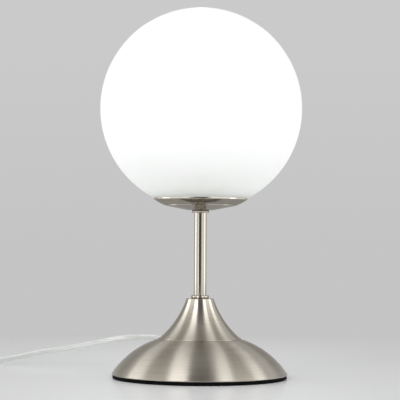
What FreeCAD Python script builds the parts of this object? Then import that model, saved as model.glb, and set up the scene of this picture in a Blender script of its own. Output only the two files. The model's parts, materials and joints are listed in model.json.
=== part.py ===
import FreeCAD, Part
import os
from math import atan2, cos, degrees, pi, radians, sin, sqrt, tan

os.makedirs("parts", exist_ok=True)
Vec = FreeCAD.Vector

# Table lamp: an opal globe in a polished dish, on a polished stem and a
# loaded two-piece base. Millimetres, +Z up, -Y is the front.
# The origin is the centre of the pad's underside.

# Globe
globe_diameter = 200.0
globe_wall = 3.0
globe_opening_diameter = 66.0

# Dish that holds the globe
dish_diameter = 93.0
dish_depth_share = 0.976
dish_wall = 0.9
dish_seat_radius = 13.0
dish_bend_radius_share = 0.72
dish_bend_rise_share = 0.357
dish_band_curve_radius = 37.0
dish_bead_radius = 0.7
globe_gap = 0.3

# Gasket and spring spider in the dish
gasket_width = 6.5
gasket_gap = 0.3
spider_thickness = 0.8
spider_arm_width = 10.0
spider_ring_radius = 9.5
spider_clearance = 0.4
spider_height = 15.0
spider_lead_in = 3.0
spider_arms = 3

# Stem and its collars
stem_diameter = 12.4
stem_length = 81.3
stem_wall = 0.8
lower_collar_diameter = 17.8
lower_collar_height = 3.1
top_collar_diameter = 17.6
top_collar_height = 2.8

# Hollow threaded rod that pulls the lamp together, with its nuts
pipe_diameter = 9.8
pipe_bore_diameter = 6.6
pipe_clearance = 0.2
pipe_end_drop = 5.0
nut_height = 3.5
nut_across_flats = 13.6
nut_clearance = 0.05
nut_chamfer_share = 1.2
washer_thickness = 1.0
washer_diameter = 15.8

# Base: a trumpet cone over a dome
base_height = 78.7
neck_diameter = 27.5
neck_edge_round = 0.9
cone_foot_diameter = 81.6
cone_curve_radius = 86.9
cone_bead_radius = 0.5
seam_height = 38.6
dome_top_diameter = 82.0
dome_diameter = 173.4
dome_curve_radius = 84.0
lip_radius = 0.8
shell_wall = 1.2

# Under the dome
pad_thickness = 3.7
pad_inset = 0.8
cover_thickness = 1.2
cover_clearance = 0.9
ballast_thickness = 14.0
ballast_gap = 1.0
ballast_hole_diameter = 44.0
ballast_slot_width = 20.0
clamp_plate_diameter = 72.0
clamp_plate_thickness = 2.0
post_diameter = 8.0
post_circle_diameter = 58.0
post_count = 3
screw_diameter = 4.0
screw_head_diameter = 7.6
screw_head_height = 2.2
screw_head_rim = 0.3
screw_length = 24.0
screw_clearance = 0.25
fit_gap = 0.05

# Lamp holder
holder_gap = 1.0
holder_cap_height = 15.0
holder_cap_diameter = 38.4
holder_cap_wall = 1.0
holder_hub_diameter = 15.0
holder_hub_height = 6.0
holder_body_diameter = 36.0
holder_body_height = 42.0
holder_body_wall = 1.6
holder_body_engagement = 6.0
insert_thickness = 8.0
insert_lift = 4.0
insert_wire_hole_diameter = 6.0
insert_wire_hole_offset = 9.0
screw_shell_diameter = 28.0
screw_shell_wall = 0.5
screw_shell_height = 24.0
screw_shell_flange = 1.7
contact_width = 5.0
contact_length = 10.0
contact_thickness = 0.6
contact_rise = 4.4
terminal_diameter = 5.0
terminal_height = 2.6
terminal_offset = 9.0

# Bulb
bulb_diameter = 60.0
bulb_length = 105.0
bulb_cap_diameter = 26.2
bulb_cap_wall = 0.4
bulb_cap_length = 22.0
bulb_neck_diameter = 29.0
bulb_neck_height = 6.0
bulb_wall = 0.9
bulb_button_diameter = 9.0
bulb_button_height = 1.5
bulb_insulator_height = 3.4
bulb_seat_gap = 0.3

# Cord, its grip and the wires inside
cord_width = 6.0
cord_bend_share = 0.45
floor_gap = 0.05
grip_radius_share = 0.8975
grip_azimuth = 101.5
grip_tilt = 20.0
grip_length = 22.0
grip_flange_diameter = 15.0
grip_flange_thickness = 1.6
grip_root_diameter = 10.4
grip_tip_diameter = 8.0
grip_barrel_diameter = 8.6
grip_barrel_length = 4.0
grip_lock_diameter = 11.6
grip_lock_thickness = 1.6
grip_hole_clearance = 0.2
wire_diameter = 2.2
wire_spacing = 2.5
wire_height = 8.4
wire_turn_share = 0.36
cord_first_run = 15.0

# In-line switch
switch_length = 56.0
switch_width = 24.0
switch_height = 17.0
switch_end_width = 14.0
switch_taper_share = 0.2
switch_split_height = 8.5
switch_corner = 2.0
switch_wall = 2.0
switch_window_length = 21.0
switch_window_width = 11.0
switch_cord_height = 7.0
rocker_gap = 0.35
rocker_pivot_diameter = 3.0
rocker_pivot_gap = 0.06
rocker_pivot_height = 13.0
rocker_angle = 24.0
rocker_rise = 35.0
rocker_fall = 12.0
rocker_dip_share = 0.75
switch_blade_thickness = 0.6
switch_blade_width = 5.0
switch_blade_length = 14.0
switch_screw_diameter = 2.6
switch_screw_length = 12.0
switch_screw_spacing = 36.0

# Plug
plug_width = 25.0
plug_height = 13.0
plug_length = 27.0
plug_corner = 3.0
plug_edge_share = 0.7
plug_shoulder_share = 0.4
plug_neck_length = 16.0
plug_neck_diameter = 8.0
blade_width = 6.3
blade_thickness = 1.5
blade_length = 17.5
blade_spacing = 12.7
blade_root = 4.0

# Coil of the spare cord and its tie
coil_outer_radius = 45.25
coil_gap = 0.5
coil_inward_half_turns = 7
coil_outward_half_turns = 5
tie_thickness = 0.6
tie_width = 9.0
tie_gap = 0.2
tie_corner_share = 1.5

overrun = 1.0

# Heights up the stack
cover_bottom = pad_thickness
cover_top = cover_bottom + cover_thickness
ballast_top = cover_top + ballast_thickness
dome_underside = seam_height - shell_wall
clamp_plate_bottom = dome_underside - clamp_plate_thickness
lower_washer_bottom = clamp_plate_bottom - washer_thickness
lower_nut_bottom = lower_washer_bottom - nut_height
pipe_bottom = lower_nut_bottom - pipe_end_drop
lower_collar_top = base_height + lower_collar_height
stem_top = lower_collar_top + stem_length
globe_radius = globe_diameter / 2
globe_sag = globe_radius - sqrt(globe_radius ** 2 - (dish_diameter / 2) ** 2)
dish_depth = globe_sag * dish_depth_share
dish_bottom = stem_top + top_collar_height
dish_floor = dish_bottom + dish_wall
dish_rim = dish_bottom + dish_depth
spider_top = dish_floor + spider_thickness
upper_washer_top = spider_top + washer_thickness
upper_nut_top = upper_washer_top + nut_height
holder_bottom = upper_nut_top + holder_gap
pipe_top = holder_bottom + holder_hub_height

pipe_hole_radius = pipe_diameter / 2 + pipe_clearance
pad_radius = dome_diameter / 2 - pad_inset


# Helpers

def at(r, z):
    """A point of an outline that is turned about the lamp's axis."""
    return Vec(r, 0, z)


def line(a, b):
    return Part.LineSegment(a, b).toShape()


def arc(a, middle, b):
    return Part.Arc(a, middle, b).toShape()


def arc_about(centre, a, b):
    """The short arc from a to b about a centre that both are equally far from."""
    middle = (a + b) * 0.5 - centre
    radius = (a - centre).Length
    return arc(a, centre + middle.normalize() * radius, b)


def chain(points):
    return [line(a, b) for a, b in zip(points, points[1:])]


def turned(edges):
    """The solid that a closed outline sweeps round the lamp's axis."""
    face = Part.Face(Part.Wire(edges))
    return face.revolve(Vec(0, 0, 0), Vec(0, 0, 1), 360)


def ring(inner, outer, bottom, height):
    body = Part.makeCylinder(outer, height, at(0, bottom))
    if inner > 0:
        body = body.cut(Part.makeCylinder(inner, height + 2 * overrun, at(0, bottom - overrun)))
    return body


def arc_centre(a, b, radius, side):
    """The centre of the arc of a radius through two outline points, on the side given."""
    half = (b - a) * 0.5
    across = Vec(-half.z, 0, half.x).normalize() * side
    return a + half + across * sqrt(radius ** 2 - half.Length ** 2)


def radius_at(centre, radius, z):
    """How far out a circle of an outline reaches at a height, on its outer side."""
    return centre.x + sqrt(radius ** 2 - (z - centre.z) ** 2)


def height_at(centre, radius, r, side):
    """The height of a circle of an outline at a distance from the axis."""
    return centre.z + side * sqrt(radius ** 2 - (r - centre.x) ** 2)


def save(node, shape):
    shape.exportStep("parts/" + node + ".step")


def group(solids):
    return Part.makeCompound(solids)


def round_edges(solid, radius, wanted):
    """Rounds the edges that a test picks."""
    return solid.makeFillet(radius, [edge for edge in solid.Edges if wanted(edge)])


def around(shape, count, start):
    """Copies of a shape spread evenly about the lamp's axis."""
    copies = []
    for index in range(count):
        copy = shape.copy()
        copy.rotate(Vec(0, 0, 0), Vec(0, 0, 1), start + index * 360 / count)
        copies.append(copy)
    return copies


# Cord geometry

def corner_radius(before, point, after):
    run = min((point - before).Length, (after - point).Length)
    turn = (point - before).getAngle(after - point)
    return cord_bend_share * run / tan(turn / 2)


def rounded_path(points):
    """Straight runs joined by tangent arcs at each inner point."""
    edges = []
    last = points[0]
    for before, point, after in zip(points, points[1:], points[2:]):
        run = min((point - before).Length, (after - point).Length) * cord_bend_share
        back = (before - point).normalize()
        ahead = (after - point).normalize()
        start = point + back * run
        end = point + ahead * run
        bisector = (back + ahead).normalize()
        radius = corner_radius(before, point, after)
        turn = (point - before).getAngle(after - point)
        middle = point + bisector * (radius / cos(turn / 2) - radius)
        edges.append(line(last, start))
        edges.append(arc(start, middle, end))
        last = end
    edges.append(line(last, points[-1]))
    return edges


def tube_on(edges, radius):
    """A round tube along a path of lines and arcs."""
    path = Part.Wire(edges)
    start = edges[0].valueAt(edges[0].FirstParameter)
    along = edges[0].tangentAt(edges[0].FirstParameter)
    section = Part.Wire([Part.makeCircle(radius, start, along)])
    return path.makePipeShell([section], True, False)


def report_cord(name, points, tube, radius):
    """Prints a stretch's bends and sets its volume against section times length."""
    bends = [corner_radius(*trio) for trio in zip(points, points[1:], points[2:])]
    length = sum(edge.Length for edge in rounded_path(points))
    share = tube.Volume / (pi * radius ** 2 * length)
    print(name, "length", round(length, 1), "radii", [round(bend, 1) for bend in bends],
          "volume share", round(share, 4))
    return length


def arc_from(start, tangent, end):
    """The arc that leaves start along tangent and reaches end."""
    chord = end - start
    along = Vec(chord).normalize()
    swell = tangent - along * tangent.dot(along)
    angle = tangent.getAngle(along)
    middle = (start + end) * 0.5 + swell.normalize() * (chord.Length / 2 * tan(angle / 2))
    return arc(start, middle, end)


def half_turn(start, end, heading):
    """Half a turn of a coil as two arcs, level at both ends."""
    reach = (end - start).Length / 2
    first = start + heading * reach
    second = end + heading * reach
    joint = (first + second) * 0.5
    along = (second - first).normalize()
    return [arc_from(start, heading, joint), arc_from(joint, along, end)]


# Globe, its dish and what is in the dish

bead_centre = at(dish_diameter / 2 - dish_bead_radius, dish_rim - dish_bead_radius)
dish_bend = at(dish_diameter / 2 * dish_bend_radius_share, dish_bottom + dish_depth * dish_bend_rise_share)
band_end = at(bead_centre.x + dish_bead_radius / 2, bead_centre.z)
band_centre = arc_centre(dish_bend, band_end, dish_band_curve_radius, 1)
band_inner_radius = dish_band_curve_radius - dish_wall
inner_bend = at(dish_bend.x, height_at(band_centre, band_inner_radius, dish_bend.x, -1))
floor_slope = (inner_bend.z - dish_floor) / (inner_bend.x - dish_seat_radius)
bead_reach = globe_radius + dish_bead_radius + globe_gap
globe_centre = at(0, bead_centre.z + sqrt(bead_reach ** 2 - bead_centre.x ** 2))
globe_inner_radius = globe_radius - globe_wall
opening_radius = globe_opening_diameter / 2
globe_cut = globe_centre.z - sqrt(globe_inner_radius ** 2 - opening_radius ** 2)
globe_top = globe_centre.z + globe_radius


def glass_globe():
    ball = Part.makeSphere(globe_radius, globe_centre)
    hollow = Part.makeSphere(globe_inner_radius, globe_centre)
    below = Part.makeCylinder(globe_radius, globe_radius, at(0, globe_cut - globe_radius))
    return ball.cut(hollow).cut(below)


def dish_holder():
    """A shallow floor that bends up into a curved band with a beaded rim."""
    inner_end = at(radius_at(band_centre, band_inner_radius, bead_centre.z), bead_centre.z)
    shell = turned(
        chain([at(pipe_hole_radius, dish_bottom), at(dish_seat_radius, dish_bottom), dish_bend])
        + [arc_about(band_centre, dish_bend, band_end),
           line(band_end, inner_end),
           arc_about(band_centre, inner_end, inner_bend)]
        + chain([inner_bend, at(dish_seat_radius, dish_floor), at(pipe_hole_radius, dish_floor),
                 at(pipe_hole_radius, dish_bottom)]))
    bead = Part.makeTorus(bead_centre.x, dish_bead_radius, at(0, bead_centre.z))
    return shell.fuse(bead).removeSplitter()


def globe_gasket():
    """A wedge ring between the dish's band and the cut edge of the glass."""
    top = globe_cut - gasket_gap
    outer = radius_at(band_centre, band_inner_radius - fit_gap, top)
    inner = max(outer - gasket_width, inner_bend.x + fit_gap)
    floor = height_at(band_centre, band_inner_radius - fit_gap, inner, -1)
    return turned(
        [arc_about(band_centre, at(inner, floor), at(outer, top)),
         line(at(outer, top), at(inner, top)),
         line(at(inner, top), at(inner, floor))])


def globe_spider():
    """A centre ring and sprung arms that stand just inside the glass opening."""
    face_radius = opening_radius - spider_clearance
    foot_radius = face_radius - spider_thickness
    reach = face_radius - spider_lead_in - dish_seat_radius
    rise = dish_floor + floor_slope * reach + spider_thickness
    top = globe_cut + spider_height
    half = spider_thickness / 2
    knee = washer_diameter / 2 + half
    centre_line = [
        at(knee - overrun, dish_floor + half),
        at(knee, dish_floor + half),
        at(foot_radius - spider_lead_in + half, rise + half),
        at(foot_radius + half, rise + spider_lead_in + half),
        at(foot_radius + half, top),
        at(foot_radius + half - spider_lead_in, top + spider_lead_in),
    ]
    strips = []
    for a, b in zip(centre_line, centre_line[1:]):
        along = (b - a).normalize()
        across = Vec(-along.z, 0, along.x) * half
        corners = [a - across, b - across, b + across, a + across, a - across]
        face = Part.Face(Part.Wire(chain(corners)))
        face.translate(Vec(0, -spider_arm_width / 2, 0))
        strips.append(face.extrude(Vec(0, spider_arm_width, 0)))
    for point in centre_line[1:-1]:
        side = point - Vec(0, spider_arm_width / 2, 0)
        strips.append(Part.makeCylinder(half, spider_arm_width, side, Vec(0, 1, 0)))
    arm = strips[0].multiFuse(strips[1:])
    plate = ring(pipe_hole_radius, spider_ring_radius, dish_floor, spider_thickness)
    return plate.multiFuse(around(arm, spider_arms, 90)).removeSplitter()


# Stem, collars, threaded pipe and nuts

def collar(diameter, bottom, height):
    """A ring whose outside is rounded from its lower edge to its upper one."""
    outer = diameter / 2
    bulge = height / 2
    flat = outer - bulge
    top = bottom + height
    return turned(
        [line(at(pipe_hole_radius, bottom), at(flat, bottom)),
         arc(at(flat, bottom), at(outer, bottom + bulge), at(flat, top))]
        + chain([at(flat, top), at(pipe_hole_radius, top), at(pipe_hole_radius, bottom)]))


def stem_tube():
    return ring(stem_diameter / 2 - stem_wall, stem_diameter / 2, lower_collar_top, stem_length)


def threaded_pipe():
    return ring(pipe_bore_diameter / 2, pipe_diameter / 2, pipe_bottom, pipe_top - pipe_bottom)


def hex_nut(bottom):
    """A nut with both faces chamfered."""
    corner = nut_across_flats / 2 / cos(pi / 6)
    points = [Vec(corner * cos(k * pi / 3), corner * sin(k * pi / 3), bottom) for k in range(7)]
    prism = Part.Face(Part.Wire(chain(points))).extrude(Vec(0, 0, nut_height))
    chamfer = corner - nut_across_flats / 2
    envelope = turned(chain([
        at(0, bottom),
        at(corner - chamfer, bottom),
        at(corner + chamfer, bottom + chamfer * nut_chamfer_share),
        at(corner + chamfer, bottom + nut_height - chamfer * nut_chamfer_share),
        at(corner - chamfer, bottom + nut_height),
        at(0, bottom + nut_height),
        at(0, bottom)]))
    hole = pipe_diameter / 2 + nut_clearance
    bore = Part.makeCylinder(hole, nut_height + 2 * overrun, at(0, bottom - overrun))
    return prism.common(envelope).cut(bore)


# Base

neck_radius = neck_diameter / 2
cone_top = at(neck_radius, base_height - neck_edge_round)
cone_foot = at(cone_foot_diameter / 2 - cone_bead_radius, seam_height + cone_bead_radius)
cone_centre = arc_centre(cone_top, cone_foot, cone_curve_radius, 1)
dome_shoulder = at(dome_top_diameter / 2, seam_height)
lip_centre = at(dome_diameter / 2 - lip_radius, pad_thickness + lip_radius)
dome_widest = at(dome_diameter / 2, lip_centre.z)
dome_centre = arc_centre(dome_shoulder, dome_widest, dome_curve_radius, -1)
dome_inner_radius = dome_curve_radius - shell_wall


def base_cone():
    outer = cone_curve_radius
    inner = cone_curve_radius + shell_wall
    inner_top_z = base_height - shell_wall
    inner_top = at(cone_centre.x - sqrt(inner ** 2 - (inner_top_z - cone_centre.z) ** 2), inner_top_z)
    inner_foot = at(cone_centre.x - sqrt(inner ** 2 - (seam_height - cone_centre.z) ** 2), seam_height)
    outer_foot = at(cone_centre.x - sqrt(outer ** 2 - (seam_height - cone_centre.z) ** 2), seam_height)
    edge_start = at(neck_radius - neck_edge_round, base_height)
    edge_drop = neck_edge_round * (1 - sin(pi / 4))
    edge_middle = at(neck_radius - edge_drop, base_height - edge_drop)
    shell = turned(
        [line(at(pipe_hole_radius, base_height), edge_start),
         arc(edge_start, edge_middle, cone_top),
         arc_about(cone_centre, cone_top, outer_foot),
         line(outer_foot, inner_foot),
         arc_about(cone_centre, inner_foot, inner_top)]
        + chain([inner_top, at(pipe_hole_radius, inner_top_z), at(pipe_hole_radius, base_height)]))
    bead = Part.makeTorus(cone_foot.x, cone_bead_radius, at(0, cone_foot.z))
    return shell.fuse(bead).removeSplitter()


def base_dome():
    """The lower shell, with a flat top under the cone and a rolled lip."""
    inner_shoulder = at(radius_at(dome_centre, dome_inner_radius, dome_underside), dome_underside)
    inner_foot = at(radius_at(dome_centre, dome_inner_radius, lip_centre.z), lip_centre.z)
    outer_foot = at(radius_at(dome_centre, dome_curve_radius, lip_centre.z), lip_centre.z)
    shell = turned(
        [line(at(pipe_hole_radius, seam_height), dome_shoulder),
         arc_about(dome_centre, dome_shoulder, outer_foot),
         line(outer_foot, inner_foot),
         arc_about(dome_centre, inner_foot, inner_shoulder)]
        + chain([inner_shoulder, at(pipe_hole_radius, dome_underside), at(pipe_hole_radius, seam_height)]))
    lip = Part.makeTorus(lip_centre.x, lip_radius, at(0, lip_centre.z))
    hole = Part.makeCylinder(
        grip_barrel_diameter / 2 + grip_hole_clearance,
        grip_length,
        grip_seat - grip_normal * (grip_length / 2),
        grip_normal)
    return shell.fuse(lip).cut(hole).removeSplitter()


def weight_posts():
    """Threaded posts that carry the ballast from the clamp plate."""
    foot = at(post_circle_diameter / 2, ballast_top)
    height = clamp_plate_bottom - ballast_top
    depth = cover_bottom + screw_length + overrun - ballast_top
    post = Part.makeCylinder(post_diameter / 2, height, foot)
    bore = Part.makeCylinder(screw_diameter / 2 + fit_gap, depth + overrun, foot - Vec(0, 0, overrun))
    return group(around(post.cut(bore), post_count, post_start))


def screw_envelope(clearance):
    """One countersunk screw, or the hole for it when a clearance is given."""
    head = screw_head_diameter / 2 + clearance
    shank = screw_diameter / 2 + clearance
    top = cover_bottom + screw_length
    outline = turned(chain([
        at(0, cover_bottom - clearance),
        at(head, cover_bottom - clearance),
        at(head, cover_bottom + screw_head_rim),
        at(shank, cover_bottom + screw_head_height + clearance),
        at(shank, top),
        at(0, top),
        at(0, cover_bottom - clearance)]))
    outline.translate(Vec(post_circle_diameter / 2, 0, 0))
    return outline


def ballast_weight():
    """A cast ring that follows the dome's inside, with a slot for the wires."""
    reach = dome_inner_radius - ballast_gap
    low = at(min(radius_at(dome_centre, reach, cover_top), cover_radius), cover_top)
    high = at(radius_at(dome_centre, reach, ballast_top), ballast_top)
    hole = ballast_hole_diameter / 2
    body = turned(chain([at(hole, cover_top), low, high, at(hole, ballast_top), at(hole, cover_top)]))
    slot = Part.makeBox(dome_diameter, ballast_slot_width, ballast_thickness + 2 * overrun)
    slot.translate(Vec(0, -ballast_slot_width / 2, cover_top - overrun))
    slot.rotate(Vec(0, 0, 0), Vec(0, 0, 1), grip_azimuth)
    holes = around(screw_envelope(screw_clearance), post_count, post_start)
    return body.cut(slot).cut(group(holes))


def cover_plate():
    body = ring(0, cover_radius, cover_bottom, cover_thickness)
    holes = around(screw_envelope(screw_clearance), post_count, post_start)
    return body.cut(group(holes))


def cover_screws():
    return group(around(screw_envelope(0), post_count, post_start))


cover_radius = lip_centre.x - lip_radius - cover_clearance
post_start = grip_azimuth + 180 / post_count

# The cord grip sits square on the dome, low at the back
grip_radius = dome_diameter / 2 * grip_radius_share
grip_height = height_at(dome_centre, dome_curve_radius, grip_radius, 1)
grip_slope = atan2(grip_height - dome_centre.z, grip_radius - dome_centre.x)


def toward(elevation):
    """A unit vector in the grip's upright plane."""
    azimuth = radians(grip_azimuth)
    return Vec(cos(elevation) * cos(azimuth), cos(elevation) * sin(azimuth), sin(elevation))


grip_normal = toward(grip_slope)
grip_along = toward(radians(grip_tilt))
grip_seat = toward(0) * grip_radius + Vec(0, 0, grip_height)
grip_tip = grip_seat + grip_along * grip_length
grip_inner = grip_seat - grip_normal * grip_barrel_length


def cord_grip():
    """A rubber grommet: flange outside, lock ring inside, tapered tail."""
    seat = grip_seat + grip_normal * fit_gap
    flange = Part.makeCylinder(grip_flange_diameter / 2, grip_flange_thickness, seat, grip_normal)
    barrel = Part.makeCylinder(
        grip_barrel_diameter / 2, grip_barrel_length + overrun, grip_inner, grip_normal)
    lock = Part.makeCylinder(grip_lock_diameter / 2, grip_lock_thickness, grip_inner, grip_normal)
    tail = Part.makeCone(grip_root_diameter / 2, grip_tip_diameter / 2, grip_length, grip_seat, grip_along)
    outside = Part.makeCylinder(grip_length, 2 * grip_length, seat, grip_normal)
    return flange.multiFuse([barrel, lock, tail.common(outside)]).removeSplitter()


def wire_route(side):
    """From the grip, along the ballast slot, up the threaded pipe to a terminal."""
    step = Vec(0, 0, 1).cross(toward(0)) * (-side * wire_spacing / 2)
    fall = (grip_inner.z - wire_height) / grip_normal.z
    level = grip_inner - grip_normal * fall
    low = cover_top + wire_diameter
    middle = toward(0) * (ballast_hole_diameter * wire_turn_share) + Vec(0, 0, low)
    foot = Vec(0, 0, low + fit_gap)
    riser = Vec(0, 0, pipe_top + wire_diameter / 2)
    end = Vec(side * terminal_offset, 0, insert_bottom - terminal_height - wire_diameter / 2)
    return [point + step for point in (grip_inner, level, middle, foot, riser)] + [end]


def inner_wires():
    """The two insulated conductors between the grip and the holder."""
    wires = []
    for side in (-1, 1):
        route = wire_route(side)
        wires.append(tube_on(rounded_path(route), wire_diameter / 2))
    return group(wires)


# Lamp holder

body_bottom = holder_bottom + holder_cap_height - holder_body_engagement
insert_bottom = body_bottom + insert_lift
insert_top = insert_bottom + insert_thickness
body_inner_radius = holder_body_diameter / 2 - holder_body_wall


def holder_cap():
    """The cup that screws on the threaded pipe and closes the holder below."""
    outer = holder_cap_diameter / 2
    hub = holder_hub_diameter / 2
    top = holder_bottom + holder_cap_height
    knee = holder_bottom + holder_cap_height - holder_body_engagement
    floor = holder_bottom + holder_cap_wall
    thread = pipe_diameter / 2 + nut_clearance
    return turned(chain([
        at(thread, holder_bottom),
        at(hub, holder_bottom),
        at(outer, knee),
        at(outer, top),
        at(outer - holder_cap_wall, top),
        at(outer - holder_cap_wall, knee),
        at(hub, floor),
        at(hub, holder_bottom + holder_hub_height),
        at(thread, holder_bottom + holder_hub_height),
        at(thread, holder_bottom)]))


def holder_body():
    """The insulating sleeve, with a ledge that carries the insert."""
    sleeve = ring(body_inner_radius, holder_body_diameter / 2, body_bottom, holder_body_height)
    ledge_inner = body_inner_radius - holder_body_wall
    ledge = ring(ledge_inner, body_inner_radius + fit_gap, body_bottom, insert_lift)
    return sleeve.fuse(ledge).removeSplitter()


def holder_insert():
    """The porcelain disc that carries the contacts, with two wire holes."""
    disc = ring(0, body_inner_radius - fit_gap, insert_bottom, insert_thickness)
    for side in (-1, 1):
        hole = Part.makeCylinder(
            insert_wire_hole_diameter / 2,
            insert_thickness + 2 * overrun,
            Vec(0, side * insert_wire_hole_offset, insert_bottom - overrun))
        disc = disc.cut(hole)
    return disc


def holder_screw_shell():
    """The brass sleeve that the bulb's cap turns in, with a floor flange."""
    outer = screw_shell_diameter / 2
    sleeve = ring(outer - screw_shell_wall, outer, insert_top, screw_shell_height)
    flange = ring(outer - screw_shell_flange, outer, insert_top, screw_shell_wall)
    return sleeve.fuse(flange).removeSplitter()


def holder_contact():
    """The sprung tongue under the bulb's centre button."""
    half = contact_length / 2
    low = insert_top
    high = insert_top + contact_rise
    step = contact_thickness
    corners = [
        at(-half, low), at(0, low), at(half / 2, high - step), at(half, high - step), at(half, high),
        at(half / 2 - step, high), at(-step, low + step), at(-half, low + step), at(-half, low)]
    tongue = Part.Face(Part.Wire(chain(corners))).extrude(Vec(0, contact_width, 0))
    tongue.translate(Vec(0, -contact_width / 2, 0))
    shift = -(half * 3 / 4 - step / 2)
    tongue.translate(Vec(shift, 0, 0))
    return tongue


def holder_terminals():
    """Two slotted terminal screws under the insert."""
    screws = []
    for side in (-1, 1):
        foot = Vec(side * terminal_offset, 0, insert_bottom - terminal_height)
        head = Part.makeCylinder(terminal_diameter / 2, terminal_height, foot)
        slot = Part.makeBox(terminal_diameter + overrun, contact_thickness, contact_thickness)
        slot.translate(foot - Vec((terminal_diameter + overrun) / 2, contact_thickness / 2, 0))
        screws.append(head.cut(slot))
    return group(screws)


# Bulb

bulb_bottom = insert_top + contact_rise + bulb_seat_gap
insulator_bottom = bulb_bottom + bulb_button_height
cap_bottom = insulator_bottom + bulb_insulator_height
cap_top = cap_bottom + bulb_cap_length
bulb_top = bulb_bottom + bulb_length
bulb_radius = bulb_diameter / 2
bulb_centre = at(0, bulb_top - bulb_radius)
cap_radius = bulb_cap_diameter / 2


def bulb_outline(inset, bottom):
    """The envelope from the neck's foot to the crown, moved in by a wall."""
    neck = bulb_neck_diameter / 2 - inset
    shoulder = at(neck, cap_top + bulb_neck_height)
    reach = bulb_radius - inset
    to_centre = bulb_centre - shoulder
    tilt = atan2(to_centre.x, to_centre.z)
    touch = tilt + pi / 2 + (pi / 2 - atan2(sqrt(to_centre.Length ** 2 - reach ** 2), reach))
    offset = Vec(cos(pi - touch), 0, sin(pi - touch)) * reach
    tangent_point = bulb_centre + Vec(abs(offset.x), 0, -abs(offset.z))
    foot = at(cap_radius - bulb_cap_wall - fit_gap - inset, bottom)
    collar_point = at(foot.x, cap_top + fit_gap)
    crown = at(0, bulb_centre.z + reach)
    side = at(reach * cos(pi / 8), bulb_centre.z + reach * sin(pi / 8))
    return foot, collar_point, shoulder, tangent_point, side, crown


def bulb_solid(inset, bottom):
    foot, collar_point, shoulder, touch, side, crown = bulb_outline(inset, bottom)
    return turned(
        chain([at(0, bottom), foot, collar_point, shoulder, touch])
        + [arc(touch, side, crown), line(crown, at(0, bottom))])


def bulb_glass():
    """A hollow envelope whose neck stands in the cap."""
    foot = cap_bottom + bulb_cap_length / 2
    return bulb_solid(0, foot).cut(bulb_solid(bulb_wall, foot - overrun))


def bulb_cap():
    inner = cap_radius - bulb_cap_wall
    return ring(inner, cap_radius, cap_bottom, bulb_cap_length)


def bulb_insulator():
    """The black ring between the cap and the centre button."""
    button = bulb_button_diameter / 2
    return turned(chain([
        at(0, insulator_bottom),
        at(button, insulator_bottom),
        at(cap_radius - bulb_cap_wall, cap_bottom),
        at(cap_radius - bulb_cap_wall - fit_gap, cap_bottom + bulb_cap_wall),
        at(0, cap_bottom + bulb_cap_wall),
        at(0, insulator_bottom)]))


def bulb_button():
    wide = bulb_button_diameter / 2
    return Part.makeCone(wide - bulb_button_height / 2, wide, bulb_button_height, at(0, bulb_bottom))


# Cord: from the grip over to the left, a switch, then a coil and the plug

cord_radius = cord_width / 2
floor_line = cord_radius + floor_gap
cord_start = [grip_tip, grip_tip + grip_along * cord_first_run]
free_points = [
    Vec(-31.0, 123.0, 31.3), Vec(-44.0, 131.0, 33.2), Vec(-62.0, 135.0, 33.9), Vec(-86.0, 136.5, 32.3),
    Vec(-114.0, 141.5, 27.2), Vec(-144.0, 149.5, 20.6), Vec(-174.0, 155.5, 13.6), Vec(-202.0, 159.0, 7.0),
    Vec(-226.0, 158.0, 3.05), Vec(-240.7, 151.7, 3.05), Vec(-251.8, 140.2, 3.9), Vec(-257.5, 125.3, 7.0),
]
switch_inlet = Vec(-257.5, 111.0, switch_cord_height)
switch_outlet = switch_inlet - Vec(0, switch_length, 0)
lead_points = [Vec(-257.5, 45.0, 7.0), Vec(-257.9, 32.5, 5.6), Vec(-257.5, 19.0, 3.85)]
tail_points = [Vec(-257.5, -16.0, 10.35), Vec(-257.9, -28.0, 8.7), Vec(-257.5, -40.0, 6.5)]
plug_inlet = Vec(-257.5, -50.0, plug_height / 2)
coil_centre = Vec(switch_outlet.x - coil_outer_radius, 0, 0)
coil_level = floor_line + tie_thickness + tie_gap
coil_pitch = cord_width + coil_gap


def stretch(name, route):
    tube = tube_on(rounded_path(route), cord_radius)
    return tube, report_cord(name, route, tube, cord_radius)


def coil_edges():
    """Half turns that spiral in on the lower layer, climb, and spiral out on the upper one."""
    step = coil_pitch / 2
    inward = [coil_outer_radius - step * k for k in range(coil_inward_half_turns)]
    outward = inward[::-1][1:coil_outward_half_turns + 1]
    spot = coil_centre + Vec(coil_outer_radius, 0, coil_level)
    heading = Vec(0, -1, 0)
    lead = spot - heading * cord_width
    edges = [line(lead, spot)]
    for index, radius in enumerate(inward + outward):
        side = -1 if index % 2 == 0 else 1
        climb = coil_pitch if index == coil_inward_half_turns - 1 else 0
        following = spot + Vec(side * 2 * radius, 0, climb)
        edges += half_turn(spot, following, heading)
        spot = following
        heading = -heading
    edges.append(line(spot, spot + heading * cord_width))
    return edges


def self_gap(edges, radius):
    """The least gap between a wound tube's own turns, tried on points along it."""
    places = []
    travelled = 0
    for edge in edges:
        count = max(2, int(edge.Length / radius))
        span = edge.LastParameter - edge.FirstParameter
        for k in range(count):
            point = edge.valueAt(edge.FirstParameter + span * k / count)
            places.append((travelled + edge.Length * k / count, point))
        travelled += edge.Length
    far = 8 * radius
    gaps = []
    for index, (here, point) in enumerate(places):
        for there, other in places[index + 1:]:
            if there - here > far:
                gaps.append(point.distanceToPoint(other))
    return min(gaps) - 2 * radius


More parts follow.
